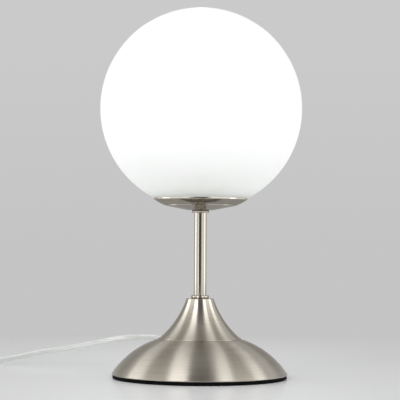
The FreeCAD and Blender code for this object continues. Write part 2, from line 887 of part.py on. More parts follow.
def coil_tie():
    """A flat band round the bundle of turns on the coil's rear side."""
    step = coil_pitch / 2
    near = coil_outer_radius - step + cord_radius + tie_gap
    inner_turn = coil_outer_radius - step * (coil_inward_half_turns - 2)
    far = sqrt(inner_turn ** 2 - (step + tie_width / 2) ** 2) - cord_radius - tie_gap
    low = coil_level - cord_radius - tie_gap
    high = low + coil_pitch + cord_width + 2 * tie_gap
    outer = Part.makeBox(tie_width, near - far + 2 * tie_thickness, high - low + 2 * tie_thickness)
    outer.translate(Vec(-tie_width / 2, far - tie_thickness, low - tie_thickness))
    inner = Part.makeBox(tie_width + 2 * overrun, near - far, high - low)
    inner.translate(Vec(-tie_width / 2 - overrun, far, low))
    band = outer.cut(inner)
    corners = lambda edge: is_outer_corner(edge, near, far, low, high)
    band = round_edges(band, tie_thickness * tie_corner_share, corners)
    band.translate(coil_centre)
    return band


def is_outer_corner(edge, near, far, low, high):
    box = edge.BoundBox
    along = box.XLength > tie_width / 2
    outside_y = box.YMin < far - fit_gap or box.YMax > near + fit_gap
    outside_z = box.ZMin < low - fit_gap or box.ZMax > high + fit_gap
    return along and outside_y and outside_z


# In-line switch

def switch_outline(shrink):
    """The long body seen from above, narrower at both cord ends."""
    half_width = switch_width / 2 - shrink
    half_end = switch_end_width / 2 - shrink
    half_length = switch_length / 2 - shrink
    taper = switch_length * switch_taper_share
    right = [Vec(half_end, half_length, 0), Vec(half_width, half_length - taper, 0)]
    right += [Vec(half_width, taper - half_length, 0), Vec(half_end, -half_length, 0)]
    left = [Vec(-point.x, point.y, 0) for point in right[::-1]]
    corners = right + left
    return Part.Face(Part.Wire(chain(corners + corners[:1])))


def place_at_switch(shape):
    shape.translate((switch_inlet + switch_outlet) * 0.5 - Vec(0, 0, switch_cord_height))
    return shape


def switch_pocket():
    length = switch_window_length + 2 * switch_wall
    width = switch_window_width + 2 * switch_wall
    height = switch_height - 2 * switch_wall
    return Part.makeBox(width, length, height, Vec(-width / 2, -length / 2, switch_wall))


def switch_screw_places():
    return [Vec(0, side * switch_screw_spacing / 2, 0) for side in (-1, 1)]


def switch_base():
    body = switch_outline(0).extrude(Vec(0, 0, switch_split_height))
    body = round_edges(body, switch_corner, lambda edge: edge.BoundBox.ZLength > switch_split_height / 2)
    body = body.cut(switch_pocket())
    for place in switch_screw_places():
        body = body.cut(Part.makeCylinder(switch_screw_diameter / 2 + fit_gap, switch_split_height, place))
        body = body.cut(Part.makeCylinder(switch_screw_diameter + fit_gap, switch_screw_diameter, place))
    return place_at_switch(body)


def switch_cover():
    height = switch_height - switch_split_height
    body = switch_outline(0).extrude(Vec(0, 0, height))
    body = round_edges(body, switch_corner, lambda edge: edge.BoundBox.ZLength > height / 2)
    body = round_edges(body, switch_corner, lambda edge: edge.BoundBox.ZMin > height - fit_gap)
    body.translate(Vec(0, 0, switch_split_height))
    window = Part.makeBox(switch_window_width, switch_window_length, switch_height)
    window.translate(Vec(-switch_window_width / 2, -switch_window_length / 2, switch_wall))
    pivot = Part.makeCylinder(
        rocker_pivot_diameter / 2 + fit_gap, switch_window_width + 2 * switch_wall,
        Vec(-switch_window_width / 2 - switch_wall, 0, rocker_pivot_height), Vec(1, 0, 0))
    body = body.cut(window).cut(pivot)
    for place in switch_screw_places():
        depth = switch_screw_length - switch_split_height
        foot = place + Vec(0, 0, switch_split_height)
        body = body.cut(Part.makeCylinder(switch_screw_diameter / 2 + fit_gap, depth + overrun, foot))
    return place_at_switch(body)


def rocker_point(radius, angle):
    """A point of the rocker's side view, from the pivot, before it is tilted."""
    return Vec(0, radius * cos(angle), radius * sin(angle))


def switch_rocker():
    """A dished rocker, with its rear half pressed in at rest."""
    reach = switch_window_length / 2 - rocker_gap
    high = radians(rocker_rise)
    low = radians(rocker_fall)
    near = rocker_point(reach, high)
    far = rocker_point(reach, pi - high)
    near_low = rocker_point(reach, -low)
    far_low = rocker_point(reach, pi + low)
    dip = Vec(0, 0, near.z * rocker_dip_share)
    keel = Vec(0, 0, -rocker_pivot_diameter)
    side = Part.Wire([
        line(near, dip), line(dip, far),
        arc(far, rocker_point(reach, pi), far_low),
        line(far_low, keel), line(keel, near_low),
        arc(near_low, rocker_point(reach, 0), near)])
    width = switch_window_width - 2 * rocker_gap
    body = Part.Face(side).extrude(Vec(width, 0, 0))
    body.translate(Vec(-width / 2, 0, 0))
    hole = rocker_pivot_diameter / 2 + rocker_pivot_gap
    start = Vec(-width / 2 - overrun, 0, 0)
    body = body.cut(Part.makeCylinder(hole, width + 2 * overrun, start, Vec(1, 0, 0)))
    body.rotate(Vec(0, 0, 0), Vec(1, 0, 0), -rocker_angle / 2)
    body.translate(Vec(0, 0, rocker_pivot_height))
    return place_at_switch(body)


def switch_pin():
    length = switch_window_width + 2 * switch_wall - 2 * fit_gap
    start = Vec(-length / 2, 0, rocker_pivot_height)
    return place_at_switch(Part.makeCylinder(rocker_pivot_diameter / 2, length, start, Vec(1, 0, 0)))


def switch_blades():
    """Two brass strips on the floor of the base, under the rocker."""
    strips = []
    for side in (-1, 1):
        start = side * switch_window_width / 4 - switch_blade_width / 2
        corner = Vec(start, -switch_blade_length / 2, switch_wall)
        strip = Part.makeBox(switch_blade_width, switch_blade_length, switch_blade_thickness, corner)
        strips.append(place_at_switch(strip))
    return group(strips)


def switch_screws():
    screws = []
    head_height = switch_screw_diameter / 2
    for place in switch_screw_places():
        head = Part.makeCylinder(
            switch_screw_diameter, head_height, place + Vec(0, 0, switch_screw_diameter - head_height))
        shank = Part.makeCylinder(
            switch_screw_diameter / 2, switch_screw_length - switch_screw_diameter,
            place + Vec(0, 0, switch_screw_diameter))
        screws.append(place_at_switch(head.fuse(shank)))
    return group(screws)


# Plug

def face_front(shape):
    """Turns a plug piece, made along +Y, to point to the front from its inlet."""
    shape.rotate(Vec(0, 0, 0), Vec(0, 0, 1), 180)
    shape.translate(plug_inlet)
    return shape


def blade(clearance):
    """One blade at the middle of the plug's front face, or the slot for it."""
    width = blade_thickness + 2 * clearance
    height = blade_width + 2 * clearance
    length = blade_root + blade_length
    start = plug_neck_length + plug_length - blade_root - clearance
    return Part.makeBox(width, length + clearance, height, Vec(-width / 2, start, -height / 2))


def both_blades(clearance):
    pair = []
    for side in (-1, 1):
        piece = blade(clearance)
        piece.translate(Vec(side * blade_spacing / 2, 0, 0))
        pair.append(face_front(piece))
    return pair


def plug_body():
    """A moulded grip that widens from the cord to the blades."""
    half = plug_width / 2
    neck = plug_neck_diameter / 2
    back = plug_neck_length - plug_corner
    shoulder = plug_neck_length + plug_length * plug_shoulder_share
    front = plug_neck_length + plug_length
    corners = [
        Vec(-neck - plug_corner, back, 0), Vec(neck + plug_corner, back, 0), Vec(half, shoulder, 0),
        Vec(half, front, 0), Vec(-half, front, 0), Vec(-half, shoulder, 0)]
    body = Part.Face(Part.Wire(chain(corners + corners[:1]))).extrude(Vec(0, 0, plug_height))
    body.translate(Vec(0, 0, -plug_height / 2))
    body = round_edges(body, plug_corner, lambda edge: edge.BoundBox.ZLength > plug_height / 2)
    flat = lambda edge: edge.BoundBox.ZLength < fit_gap and edge.BoundBox.YMin < front - fit_gap
    body = round_edges(body, plug_corner * plug_edge_share, flat)
    collar_piece = Part.makeCone(cord_radius + fit_gap, neck, plug_neck_length, Vec(0, 0, 0), Vec(0, 1, 0))
    body = face_front(body.fuse(collar_piece).removeSplitter())
    return body.cut(group(both_blades(fit_gap)))


def plug_blades():
    return group(both_blades(0))


# Every node, and its shape

coil_path = coil_edges()
coil_start = coil_path[0].valueAt(coil_path[0].FirstParameter)
coil_end = coil_path[-1].valueAt(coil_path[-1].LastParameter)
power_cord, cord_free_length = stretch("power_cord", cord_start + free_points + [switch_inlet])
cord_lead, cord_lead_length = stretch("cord_lead", [switch_outlet] + lead_points + [coil_start])
cord_tail, cord_tail_length = stretch("cord_tail", [coil_end] + tail_points + [plug_inlet])
cord_coil = tube_on(coil_path, cord_radius)
coil_length = sum(edge.Length for edge in coil_path)
coil_share = cord_coil.Volume / (pi * cord_radius ** 2 * coil_length)
print("cord_coil length", round(coil_length, 1), "volume share", round(coil_share, 4),
      "least gap", round(self_gap(coil_path, cord_radius), 2))
whole = cord_free_length + switch_length + cord_lead_length + coil_length + cord_tail_length
print("whole cord", round(whole, 1), "globe centre", round(globe_centre.z, 2),
      "height", round(globe_top, 2))

parts = {
    "glass_globe": glass_globe(),
    "dish_holder": dish_holder(),
    "globe_gasket": globe_gasket(),
    "globe_spider": globe_spider(),
    "dish_washer": ring(pipe_hole_radius, washer_diameter / 2, spider_top, washer_thickness),
    "dish_nut": hex_nut(upper_washer_top),
    "top_collar": collar(top_collar_diameter, stem_top, top_collar_height),
    "stem_tube": stem_tube(),
    "lower_collar": collar(lower_collar_diameter, base_height, lower_collar_height),
    "threaded_pipe": threaded_pipe(),
    "base_cone": base_cone(),
    "base_dome": base_dome(),
    "clamp_plate": ring(
        pipe_hole_radius, clamp_plate_diameter / 2, clamp_plate_bottom, clamp_plate_thickness),
    "clamp_washer": ring(pipe_hole_radius, washer_diameter / 2, lower_washer_bottom, washer_thickness),
    "clamp_nut": hex_nut(lower_nut_bottom),
    "weight_posts": weight_posts(),
    "ballast_weight": ballast_weight(),
    "cover_plate": cover_plate(),
    "cover_screws": cover_screws(),
    "base_pad": ring(0, pad_radius, 0, pad_thickness),
    "holder_cap": holder_cap(),
    "holder_body": holder_body(),
    "holder_insert": holder_insert(),
    "holder_screw_shell": holder_screw_shell(),
    "holder_contact": holder_contact(),
    "holder_terminals": holder_terminals(),
    "bulb_glass": bulb_glass(),
    "bulb_cap": bulb_cap(),
    "bulb_insulator": bulb_insulator(),
    "bulb_button": bulb_button(),
    "cord_grip": cord_grip(),
    "inner_wires": inner_wires(),
    "power_cord": power_cord,
    "cord_lead": cord_lead,
    "cord_coil": cord_coil,
    "cord_tail": cord_tail,
    "coil_tie": coil_tie(),
    "switch_base": switch_base(),
    "switch_cover": switch_cover(),
    "switch_rocker": switch_rocker(),
    "switch_pin": switch_pin(),
    "switch_blades": switch_blades(),
    "switch_screws": switch_screws(),
    "plug_body": plug_body(),
    "plug_blades": plug_blades(),
}
for node, shape in parts.items():
    save(node, shape)
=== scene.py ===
import bpy, bmesh, json
import numpy as np
from math import atan2, cos, pi, radians, sin, sqrt
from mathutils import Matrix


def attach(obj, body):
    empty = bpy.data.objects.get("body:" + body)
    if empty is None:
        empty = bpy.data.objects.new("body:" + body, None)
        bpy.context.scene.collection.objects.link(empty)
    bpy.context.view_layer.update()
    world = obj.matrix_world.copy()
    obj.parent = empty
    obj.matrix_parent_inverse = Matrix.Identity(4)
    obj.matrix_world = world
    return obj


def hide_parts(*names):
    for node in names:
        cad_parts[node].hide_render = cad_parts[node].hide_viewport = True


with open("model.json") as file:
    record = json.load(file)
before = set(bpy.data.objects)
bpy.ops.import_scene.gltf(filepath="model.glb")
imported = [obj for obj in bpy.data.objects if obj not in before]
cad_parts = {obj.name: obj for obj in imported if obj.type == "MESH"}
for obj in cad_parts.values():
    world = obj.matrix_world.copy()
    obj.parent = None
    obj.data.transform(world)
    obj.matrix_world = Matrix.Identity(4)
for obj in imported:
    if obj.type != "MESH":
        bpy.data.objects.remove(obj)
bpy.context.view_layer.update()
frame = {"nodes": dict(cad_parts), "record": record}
nodes = frame["nodes"]
print("frame loaded:", len(nodes), "nodes")


# Mesh helpers: every new surface is a grid of points worked out as whole arrays

tiny = 1e-7  # metres between two points that count as one


# A mesh from a grid of points, rows by columns. Each cell becomes one face, points that fall together become
# one, and faces turn outwards. The function uv gives the map's place at a row and a column.
def meshFromGrid(name, points, closeRows=False, closeColumns=False, uv=None, sharpAngle=35.0):
    rows, columns = points.shape[:2]
    i = np.arange(rows if closeRows else rows - 1)
    j = np.arange(columns if closeColumns else columns - 1)
    i, j = [index.ravel() for index in np.meshgrid(i, j, indexing="ij")]
    up, across = (i + 1) % rows, (j + 1) % columns
    faces = np.stack([i * columns + j, i * columns + across, up * columns + across, up * columns + j], 1)
    mesh = bpy.data.meshes.new(name)
    mesh.from_pydata(points.reshape(-1, 3).tolist(), [], faces.tolist())
    if uv is not None:
        corners = np.stack([uv(i, j), uv(i, j + 1), uv(i + 1, j + 1), uv(i + 1, j)], 1)
        layer = mesh.uv_layers.new(name="surface")
        layer.data.foreach_set("uv", corners.reshape(-1).astype(np.float32))
    work = bmesh.new()
    work.from_mesh(mesh)
    bmesh.ops.remove_doubles(work, verts=work.verts, dist=tiny)
    bmesh.ops.recalc_face_normals(work, faces=work.faces)
    work.to_mesh(mesh)
    work.free()
    mesh.shade_smooth()
    mesh.set_sharp_from_angle(angle=radians(sharpAngle))
    return mesh


# Puts a mesh in the scene as a piece that rides on a body.
def addPiece(name, mesh, body, slot, material, *replaced):
    piece = bpy.data.objects.new(name, mesh)
    bpy.context.scene.collection.objects.link(piece)
    mesh.materials.clear()
    mesh.materials.append(material)
    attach(piece, body)
    if replaced:
        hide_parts(*replaced)
    return piece


# Points (r, z) on a circle: the centre plus the radius times the cosine and sine of an angle in even steps.
def arcProfile(centre, radius, start, end, count):
    angle = np.radians(np.linspace(start, end, count))
    return np.stack([centre[0] + radius * np.cos(angle), centre[1] + radius * np.sin(angle)], 1)


# The short arc from a to b about a centre, both given as (r, z).
def arcBetween(a, b, centre, count):
    start = np.degrees(atan2(a[1] - centre[1], a[0] - centre[0]))
    end = np.degrees(atan2(b[1] - centre[1], b[0] - centre[0]))
    end += 360 * round((start - end) / 360)
    radius = sqrt((a[0] - centre[0]) ** 2 + (a[1] - centre[1]) ** 2)
    return arcProfile(centre, radius, start, end, count)


# Points (r, z) at even steps from a to b.
def lineProfile(a, b, count=2):
    return np.linspace(a, b, count)


# A corner b between a and c, eased by (1-t)^2 a + 2 t (1-t) b + t^2 c.
def softCorner(a, b, c, count):
    t = np.linspace(0, 1, count)[:, None]
    return (1 - t) ** 2 * np.array(a) + 2 * t * (1 - t) * np.array(b) + t ** 2 * np.array(c)


# The centre of a circle through a and b: half way between them, then square to their line by the root of the
# radius squared less the square of half their distance. Side, 1 or -1, says to which hand.
def circleThrough(a, b, radius, side):
    a, b = np.array(a), np.array(b)
    half = (b - a) / 2
    across = np.array([-half[1], half[0]]) / np.linalg.norm(half) * side
    return a + half + across * sqrt(radius ** 2 - half @ half)


# One outline from several, with the doubled joints dropped.
def joinProfiles(*stretches):
    outline = np.concatenate(stretches)
    step = np.linalg.norm(np.diff(outline, axis=0), axis=1)
    return outline[np.concatenate([[True], step > tiny])]


# An outline turned about the lamp's axis: x and y are r times the cosine and sine of the angle.
# The map runs along the outline in u, in metres, and round the axis in v, in turns.
def turnedMesh(name, outline, segments=192, closed=True, sharpAngle=35.0):
    angle = np.linspace(0, 2 * pi, segments, endpoint=False)
    r, z = outline[:, 0][:, None], outline[:, 1][:, None]
    points = np.stack([r * np.cos(angle), r * np.sin(angle), z + 0 * angle], 2)
    steps = np.linalg.norm(np.diff(outline, axis=0, append=outline[:1]), axis=1)
    along = np.concatenate([[0], np.cumsum(steps)])
    turn = np.linspace(0, 1, segments + 1)
    mapPlace = lambda i, j: np.stack([along[i], turn[j]], 1)
    return meshFromGrid(name, points, closed, True, mapPlace, sharpAngle)


# Materials

# A material with its fixed numbers on the shader's own sockets.
def newMaterial(name, color, metallic, roughness, **sockets):
    material = bpy.data.materials.new(name)
    material.use_nodes = True
    shader = material.node_tree.nodes["Principled BSDF"]
    shader.inputs["Base Color"].default_value = (*color, 1.0)
    shader.inputs["Metallic"].default_value = metallic
    shader.inputs["Roughness"].default_value = roughness
    for socket, value in sockets.items():
        shader.inputs[socket.replace("_", " ")].default_value = value
    return material, material.node_tree, shader


# Noise on a mapped place: scale is cycles per metre along each axis.
def noisePattern(tree, source, scale, detail=3.0, roughness=0.55):
    mapping = tree.nodes.new("ShaderNodeMapping")
    mapping.inputs["Scale"].default_value = scale
    noise = tree.nodes.new("ShaderNodeTexNoise")
    noise.inputs["Scale"].default_value = 1.0
    noise.inputs["Detail"].default_value = detail
    noise.inputs["Roughness"].default_value = roughness
    tree.links.new(source, mapping.inputs["Vector"])
    tree.links.new(mapping.outputs["Vector"], noise.inputs["Vector"])
    return noise.outputs["Fac"]


# The piece's own coordinates, or its own map.
def place(tree, kind="Object"):
    coordinates = tree.nodes.new("ShaderNodeTexCoord")
    return coordinates.outputs[kind]


# A colour between two, by a pattern's value.
def shaded(tree, factor, dark, light, low=0.3, high=0.7):
    ramp = tree.nodes.new("ShaderNodeValToRGB")
    ramp.color_ramp.elements[0].position = low
    ramp.color_ramp.elements[1].position = high
    ramp.color_ramp.elements[0].color = (*dark, 1.0)
    ramp.color_ramp.elements[1].color = (*light, 1.0)
    tree.links.new(factor, ramp.inputs["Fac"])
    return ramp.outputs["Color"]


# A number between two, by a pattern's value.
def ranged(tree, factor, low, high, start=0.3, end=0.7):
    spread = tree.nodes.new("ShaderNodeMapRange")
    spread.inputs["From Min"].default_value = start
    spread.inputs["From Max"].default_value = end
    spread.inputs["To Min"].default_value = low
    spread.inputs["To Max"].default_value = high
    tree.links.new(factor, spread.inputs["Value"])
    return spread.outputs["Result"]


# Two numbers put together by one Math node.
def combined(tree, operation, first, second):
    node = tree.nodes.new("ShaderNodeMath")
    node.operation = operation
    tree.links.new(first, node.inputs[0])
    tree.links.new(second, node.inputs[1])
    return node.outputs["Value"]


# One of a place's three numbers, X, Y or Z.
def oneAxis(tree, source, axis):
    split = tree.nodes.new("ShaderNodeSeparateXYZ")
    tree.links.new(source, split.inputs["Vector"])
    return split.outputs[axis]


# Raises the surface by a pattern, to a distance in metres.
def bumped(tree, factor, shader, strength, distance):
    bump = tree.nodes.new("ShaderNodeBump")
    bump.inputs["Strength"].default_value = strength
    bump.inputs["Distance"].default_value = distance
    tree.links.new(factor, bump.inputs["Height"])
    tree.links.new(bump.outputs["Normal"], shader.inputs["Normal"])


# A finish whose colour, gloss and relief follow one fine grain.
def grained(name, dark, light, metallic, smooth, rough, scale, strength, distance, **sockets):
    material, tree, shader = newMaterial(name, light, metallic, rough, **sockets)
    grain = noisePattern(tree, place(tree), scale)
    tree.links.new(shaded(tree, grain, dark, light), shader.inputs["Base Color"])
    tree.links.new(ranged(tree, grain, smooth, rough), shader.inputs["Roughness"])
    bumped(tree, grain, shader, strength, distance)
    return material


nickel = {
    "light": (0.58, 0.542, 0.476),
    "dark": (0.48, 0.443, 0.38),
    "brushed": (0.505, 0.468, 0.405),
    "edgeTint": (0.70, 0.68, 0.64, 1.0),
    "polishedRoughness": 0.09,
    "haze": (160, 160, 10),  # cycles per metre
    "hazeDetail": 2.0,
    "hazeSpread": (0.0, 0.55),
    "hazeGloss": (0.85, 1.15),
    # Shares of the nickel's colours for lit and shaded copies: the dish's is painted shade for its darker
    # reflections, the rim's a painted highlight, the seam's painted lighter than the dish.
    "dishPaintedShade": 0.58,
    "dishRoughness": 0.15,
    "seamPaintedLight": 0.95,
    "rimPaintedHighlight": 1.35,
    "scratches": 5200,  # cycles per metre across the scratches
    "scratchDetail": 4.0,
    "scratchDepth": 0.00002,
    "streakDetail": 5.0,
    "streakRoughness": 0.62,
}
brushing = {  # coarse is in cycles per metre, streaks in cycles per turn, and satin holds at the lower height
    "dome": {
        "roughness": (0.32, 0.38), "anisotropy": 0.97, "coarse": 700, "streaks": 30, "relief": 0.35,
        "spread": (0.36, 0.64), "heights": (0.0, 1.0), "satin": 1.0},
    "cone": {
        "roughness": (0.205, 0.235), "anisotropy": 0.88, "coarse": 2200, "streaks": 9, "relief": 0.04,
        "spread": (0.20, 0.80), "heights": (0.0386, 0.073), "satin": 1.5},
}


# Fine scratches run round the axis, so light spreads from neck to rim. Between the two heights the
# roughness grows downwards, to satin times itself.
def brushedNickel(name, b):
    material, tree, shader = newMaterial(
        name, nickel["light"], 1.0, b["roughness"][0], Anisotropic=b["anisotropy"])
    surface = place(tree, "UV")
    fine = noisePattern(tree, surface, (nickel["scratches"], b["streaks"], 1), nickel["scratchDetail"])
    broad = noisePattern(
        tree, surface, (b["coarse"], b["streaks"] / 3, 1), nickel["streakDetail"], nickel["streakRoughness"])
    color = shaded(tree, broad, nickel["brushed"], nickel["light"], *b["spread"])
    tree.links.new(color, shader.inputs["Base Color"])
    lower = ranged(tree, oneAxis(tree, place(tree), "Z"), b["satin"], 1.0, *b["heights"])
    gloss = combined(tree, "MULTIPLY", ranged(tree, broad, *b["roughness"]), lower)
    tree.links.new(gloss, shader.inputs["Roughness"])
    bumped(tree, fine, shader, b["relief"], nickel["scratchDepth"])
    tangent = tree.nodes.new("ShaderNodeTangent")
    tangent.direction_type = "UV_MAP"
    tangent.uv_map = "surface"
    tree.links.new(tangent.outputs["Tangent"], shader.inputs["Tangent"])
    return material


# A mirror finish with a trace of polishing haze, darker where it is seen at a glancing angle.
def polishedNickel(name, shade=1.0, rough=nickel["polishedRoughness"]):
    # shade scales both colours: below one it is painted shade, above one a painted highlight, giving lit and
    # shaded copies of one nickel.
    dark, light = [[share * shade for share in nickel[tone]] for tone in ("dark", "light")]
    material, tree, shader = newMaterial(name, light, 1.0, rough, Specular_Tint=nickel["edgeTint"])
    haze = noisePattern(tree, place(tree), nickel["haze"], nickel["hazeDetail"])
    gloss = [rough * share for share in nickel["hazeGloss"]]
    tree.links.new(ranged(tree, haze, *gloss), shader.inputs["Roughness"])
    tree.links.new(shaded(tree, haze, dark, light, *nickel["hazeSpread"]), shader.inputs["Base Color"])
    return material


# The globe's glow is painted light: emission by height for the bulb's light through the opal, dimmer towards
# the cut edge as painted shade of the holder and dish.
globePaintedGlow = {  # height in metres and the glow there, from the cut edge to where it is full
    "heights": [0.1750, 0.1791, 0.1809, 0.1836, 0.1881, 0.1971, 0.2106, 0.2286, 0.2468],
    "levels": [0.30, 0.34, 0.45, 0.52, 0.58, 0.62, 0.68, 0.74, 0.84],
    "tint": (0.985, 1.0, 0.98),
    "lowTint": (0.945, 1.0, 0.925),  # at the cut edge
    "tintBy": 0.33,  # share of the heights over which the one goes over to the other
    "skin": (0.30, 0.30, 0.30),
    "roughness": 0.22,
    "coat": 0.4,
    "coatRoughness": 0.06,
}


# White opal with a painted glow standing in for the bulb's light through it; towards the opening it is a
# little dimmer, as painted shade where the holder and dish block the bulb, and greener.
def opalGlass(name):
    g = globePaintedGlow
    material, tree, shader = newMaterial(
        name, g["skin"], 0.0, g["roughness"], Coat_Weight=g["coat"], Coat_Roughness=g["coatRoughness"],
        Emission_Strength=1.0)
    heights = np.array(g["heights"])
    height = ranged(tree, oneAxis(tree, place(tree), "Z"), 0.0, 1.0, heights[0], heights[-1])
    spots = (heights - heights[0]) / (heights[-1] - heights[0])
    ramp = tree.nodes.new("ShaderNodeValToRGB")
    stops = ramp.color_ramp.elements
    for index, (spot, level) in enumerate(zip(spots, g["levels"])):
        stop = stops[index] if index < 2 else stops.new(spot)
        stop.position = spot
        clear = min(1.0, spot / g["tintBy"])
        tint = [low + (high - low) * clear for low, high in zip(g["lowTint"], g["tint"])]
        stop.color = (*[level * share for share in tint], 1.0)
    tree.links.new(height, ramp.inputs["Fac"])
    tree.links.new(ramp.outputs["Color"], shader.inputs["Emission Color"])
    return material


# Each row: name, dark and light colour, metal, roughness from and to, the grain's cycles per metre, and how
# strong and how deep its relief is
finishes = {
    "opal_glass": opalGlass("opal glass"),
    "polished_nickel": polishedNickel("polished nickel"),
    "brushed_nickel": brushedNickel("brushed nickel", brushing["dome"]),
    # Black rubber, its colours made darker than the rubber's own black as painted shade where the pad lies
    # under the dome's lip.
    "black_pad": grained(
        "black foam rubber in painted shade", (0.0015, 0.0015, 0.0015), (0.005, 0.005, 0.005), 0.0, 0.75, 0.95,
        (2200, 2200, 2200), 0.5, 0.0001, Specular_IOR_Level=0.08),
    "clear_silicone": grained(
        "clear silicone", (0.62, 0.64, 0.63), (0.78, 0.80, 0.79), 0.0, 0.25, 0.40,
        (300, 300, 300), 0.1, 0.00005, Transmission_Weight=0.5),
    "spring_steel": grained(
        "spring steel", (0.42, 0.43, 0.45), (0.60, 0.61, 0.63), 1.0, 0.22, 0.38,
        (900, 60, 900), 0.1, 0.00002),
    "zinc_steel": grained(
        "zinc plated steel", (0.48, 0.49, 0.51), (0.66, 0.67, 0.69), 1.0, 0.25, 0.42,
        (420, 420, 420), 0.15, 0.00003),
    "cast_iron": grained(
        "painted cast iron", (0.020, 0.020, 0.022), (0.055, 0.055, 0.058), 0.0, 0.45, 0.70,
        (700, 700, 700), 0.6, 0.0002),
    "white_plastic": grained(
        "white moulded plastic", (0.74, 0.73, 0.70), (0.82, 0.81, 0.78), 0.0, 0.28, 0.38,
        (500, 500, 500), 0.08, 0.00003),
    "porcelain": grained(
        "glazed porcelain", (0.78, 0.77, 0.74), (0.86, 0.85, 0.82), 0.0, 0.10, 0.20,
        (160, 160, 160), 0.05, 0.00003, Coat_Weight=0.6),
    "brass": grained(
        "brass", (0.58, 0.40, 0.14), (0.80, 0.62, 0.28), 1.0, 0.20, 0.34, (500, 500, 500), 0.1, 0.00002),
    "nickelled_brass": grained(
        "nickelled brass", (0.62, 0.61, 0.57), (0.76, 0.74, 0.70), 1.0, 0.14, 0.26,
        (500, 500, 900), 0.1, 0.00002),
    "bulb_opal": grained(
        "opal bulb glass", (0.82, 0.81, 0.77), (0.90, 0.89, 0.86), 0.0, 0.20, 0.30,
        (90, 90, 90), 0.02, 0.00002, Emission_Color=(1.0, 0.97, 0.90, 1.0), Emission_Strength=1.0),
    "black_glass": grained(
        "black glass", (0.010, 0.010, 0.010), (0.025, 0.025, 0.025), 0.0, 0.08, 0.16,
        (200, 200, 200), 0.05, 0.00002),
    "wire_insulation": grained(
        "wire insulation", (0.74, 0.74, 0.72), (0.84, 0.84, 0.82), 0.0, 0.40, 0.52,
        (600, 600, 600), 0.1, 0.00003),
    "black_tie": grained(
        "paper tie", (0.020, 0.020, 0.020), (0.060, 0.060, 0.060), 0.0, 0.65, 0.85,
        (1800, 600, 1800), 0.4, 0.0001),
    "switch_plastic": grained(
        "pale switch plastic", (0.74, 0.75, 0.74), (0.78, 0.79, 0.78), 0.0, 0.28, 0.36,
        (2600, 2600, 2600), 0.12, 0.00002, Transmission_Weight=0.12),
    "switch_rocker_plastic": grained(
        "pale rocker plastic", (0.66, 0.67, 0.66), (0.70, 0.71, 0.70), 0.0, 0.22, 0.30,
        (2600, 2600, 2600), 0.10, 0.00002),
    "plug_plastic": grained(
        "pale plug plastic", (0.75, 0.77, 0.76), (0.79, 0.81, 0.80), 0.0, 0.26, 0.32,
        (700, 700, 700), 0.06, 0.00002, Transmission_Weight=0.10),
    "clear_pvc": grained(
        "clear cord cover", (0.92, 0.94, 0.91), (0.96, 0.97, 0.95), 0.0, 0.14, 0.20,
        (300, 300, 300), 0.03, 0.00002,
        Transmission_Weight=0.32, IOR=1.45, Coat_Weight=0.3, Coat_Roughness=0.08),
}
slots = {entry["node"]: entry["material_slot"] for entry in frame["record"]["subparts"]}
for node, part in nodes.items():
    part.data.materials.clear()
    part.data.materials.append(finishes[slots[node]])
print("finishes:", len(finishes))


# Globe

globe = {  # metres, and the edge values round the cut
    "radius": 0.1, "wall": 0.003, "centre": 0.26641, "opening": 0.033,
    "edgeOut": 0.0012, "edgeIn": 0.0008, "edgeDegrees": 0.7,
}


# Two circles about the globe's centre, joined by a rounded lip at the opening.
def globeOutline(g):
    inner = g["radius"] - g["wall"]
    cut = g["centre"] - sqrt(inner ** 2 - g["opening"] ** 2)
    outerEdge = sqrt(g["radius"] ** 2 - (g["centre"] - cut) ** 2)
    centre = (0.0, g["centre"])
    startAngle = np.degrees(atan2(cut - g["centre"], outerEdge)) + g["edgeDegrees"]
    endAngle = np.degrees(atan2(cut - g["centre"], g["opening"])) + g["edgeDegrees"]
    outside = arcProfile(centre, g["radius"], 90, startAngle, 110)
    inside = arcProfile(centre, inner, endAngle, 90, 90)
    firstBend = softCorner(outside[-1], (outerEdge, cut), (outerEdge - g["edgeOut"], cut), 9)
    lastBend = softCorner((g["opening"] + g["edgeIn"], cut), (g["opening"], cut), inside[0], 9)
    outline = joinProfiles(outside, firstBend, lastBend, inside)
    outline[0, 0] = outline[-1, 0] = 0.0
    return outline


globeMesh = turnedMesh("globe", globeOutline(globe), closed=False, sharpAngle=60)
addPiece("globe", globeMesh, "globe", "opal_glass", finishes["opal_glass"], "glass_globe")

# Dish

dish = {  # metres, and pairs are (r, z)
    "radius": 0.0465, "bottom": 0.1659, "top": 0.177095, "wall": 0.0009, "seat": 0.013, "hole": 0.0051,
    "bend": (0.03348, 0.169897), "bandCurve": 0.037, "bead": 0.0007, "beadShare": 0.8,
    "rimRise": 0.0005, "rimLow": 0.0006, "rimHigh": 0.00013, "rimLean": 0.00001,
    # The rim's brightness is a painted highlight from its brighter nickel.
    "rimDepth": 0.00045, "rimSkirt": 0.0004,  # the bright edge, a little above the bead
    "seam": (0.0354, 0.1705), "seamOut": 0.0007, "seamTall": 0.00030, "seamDeep": 0.0012,  # the ridge
}


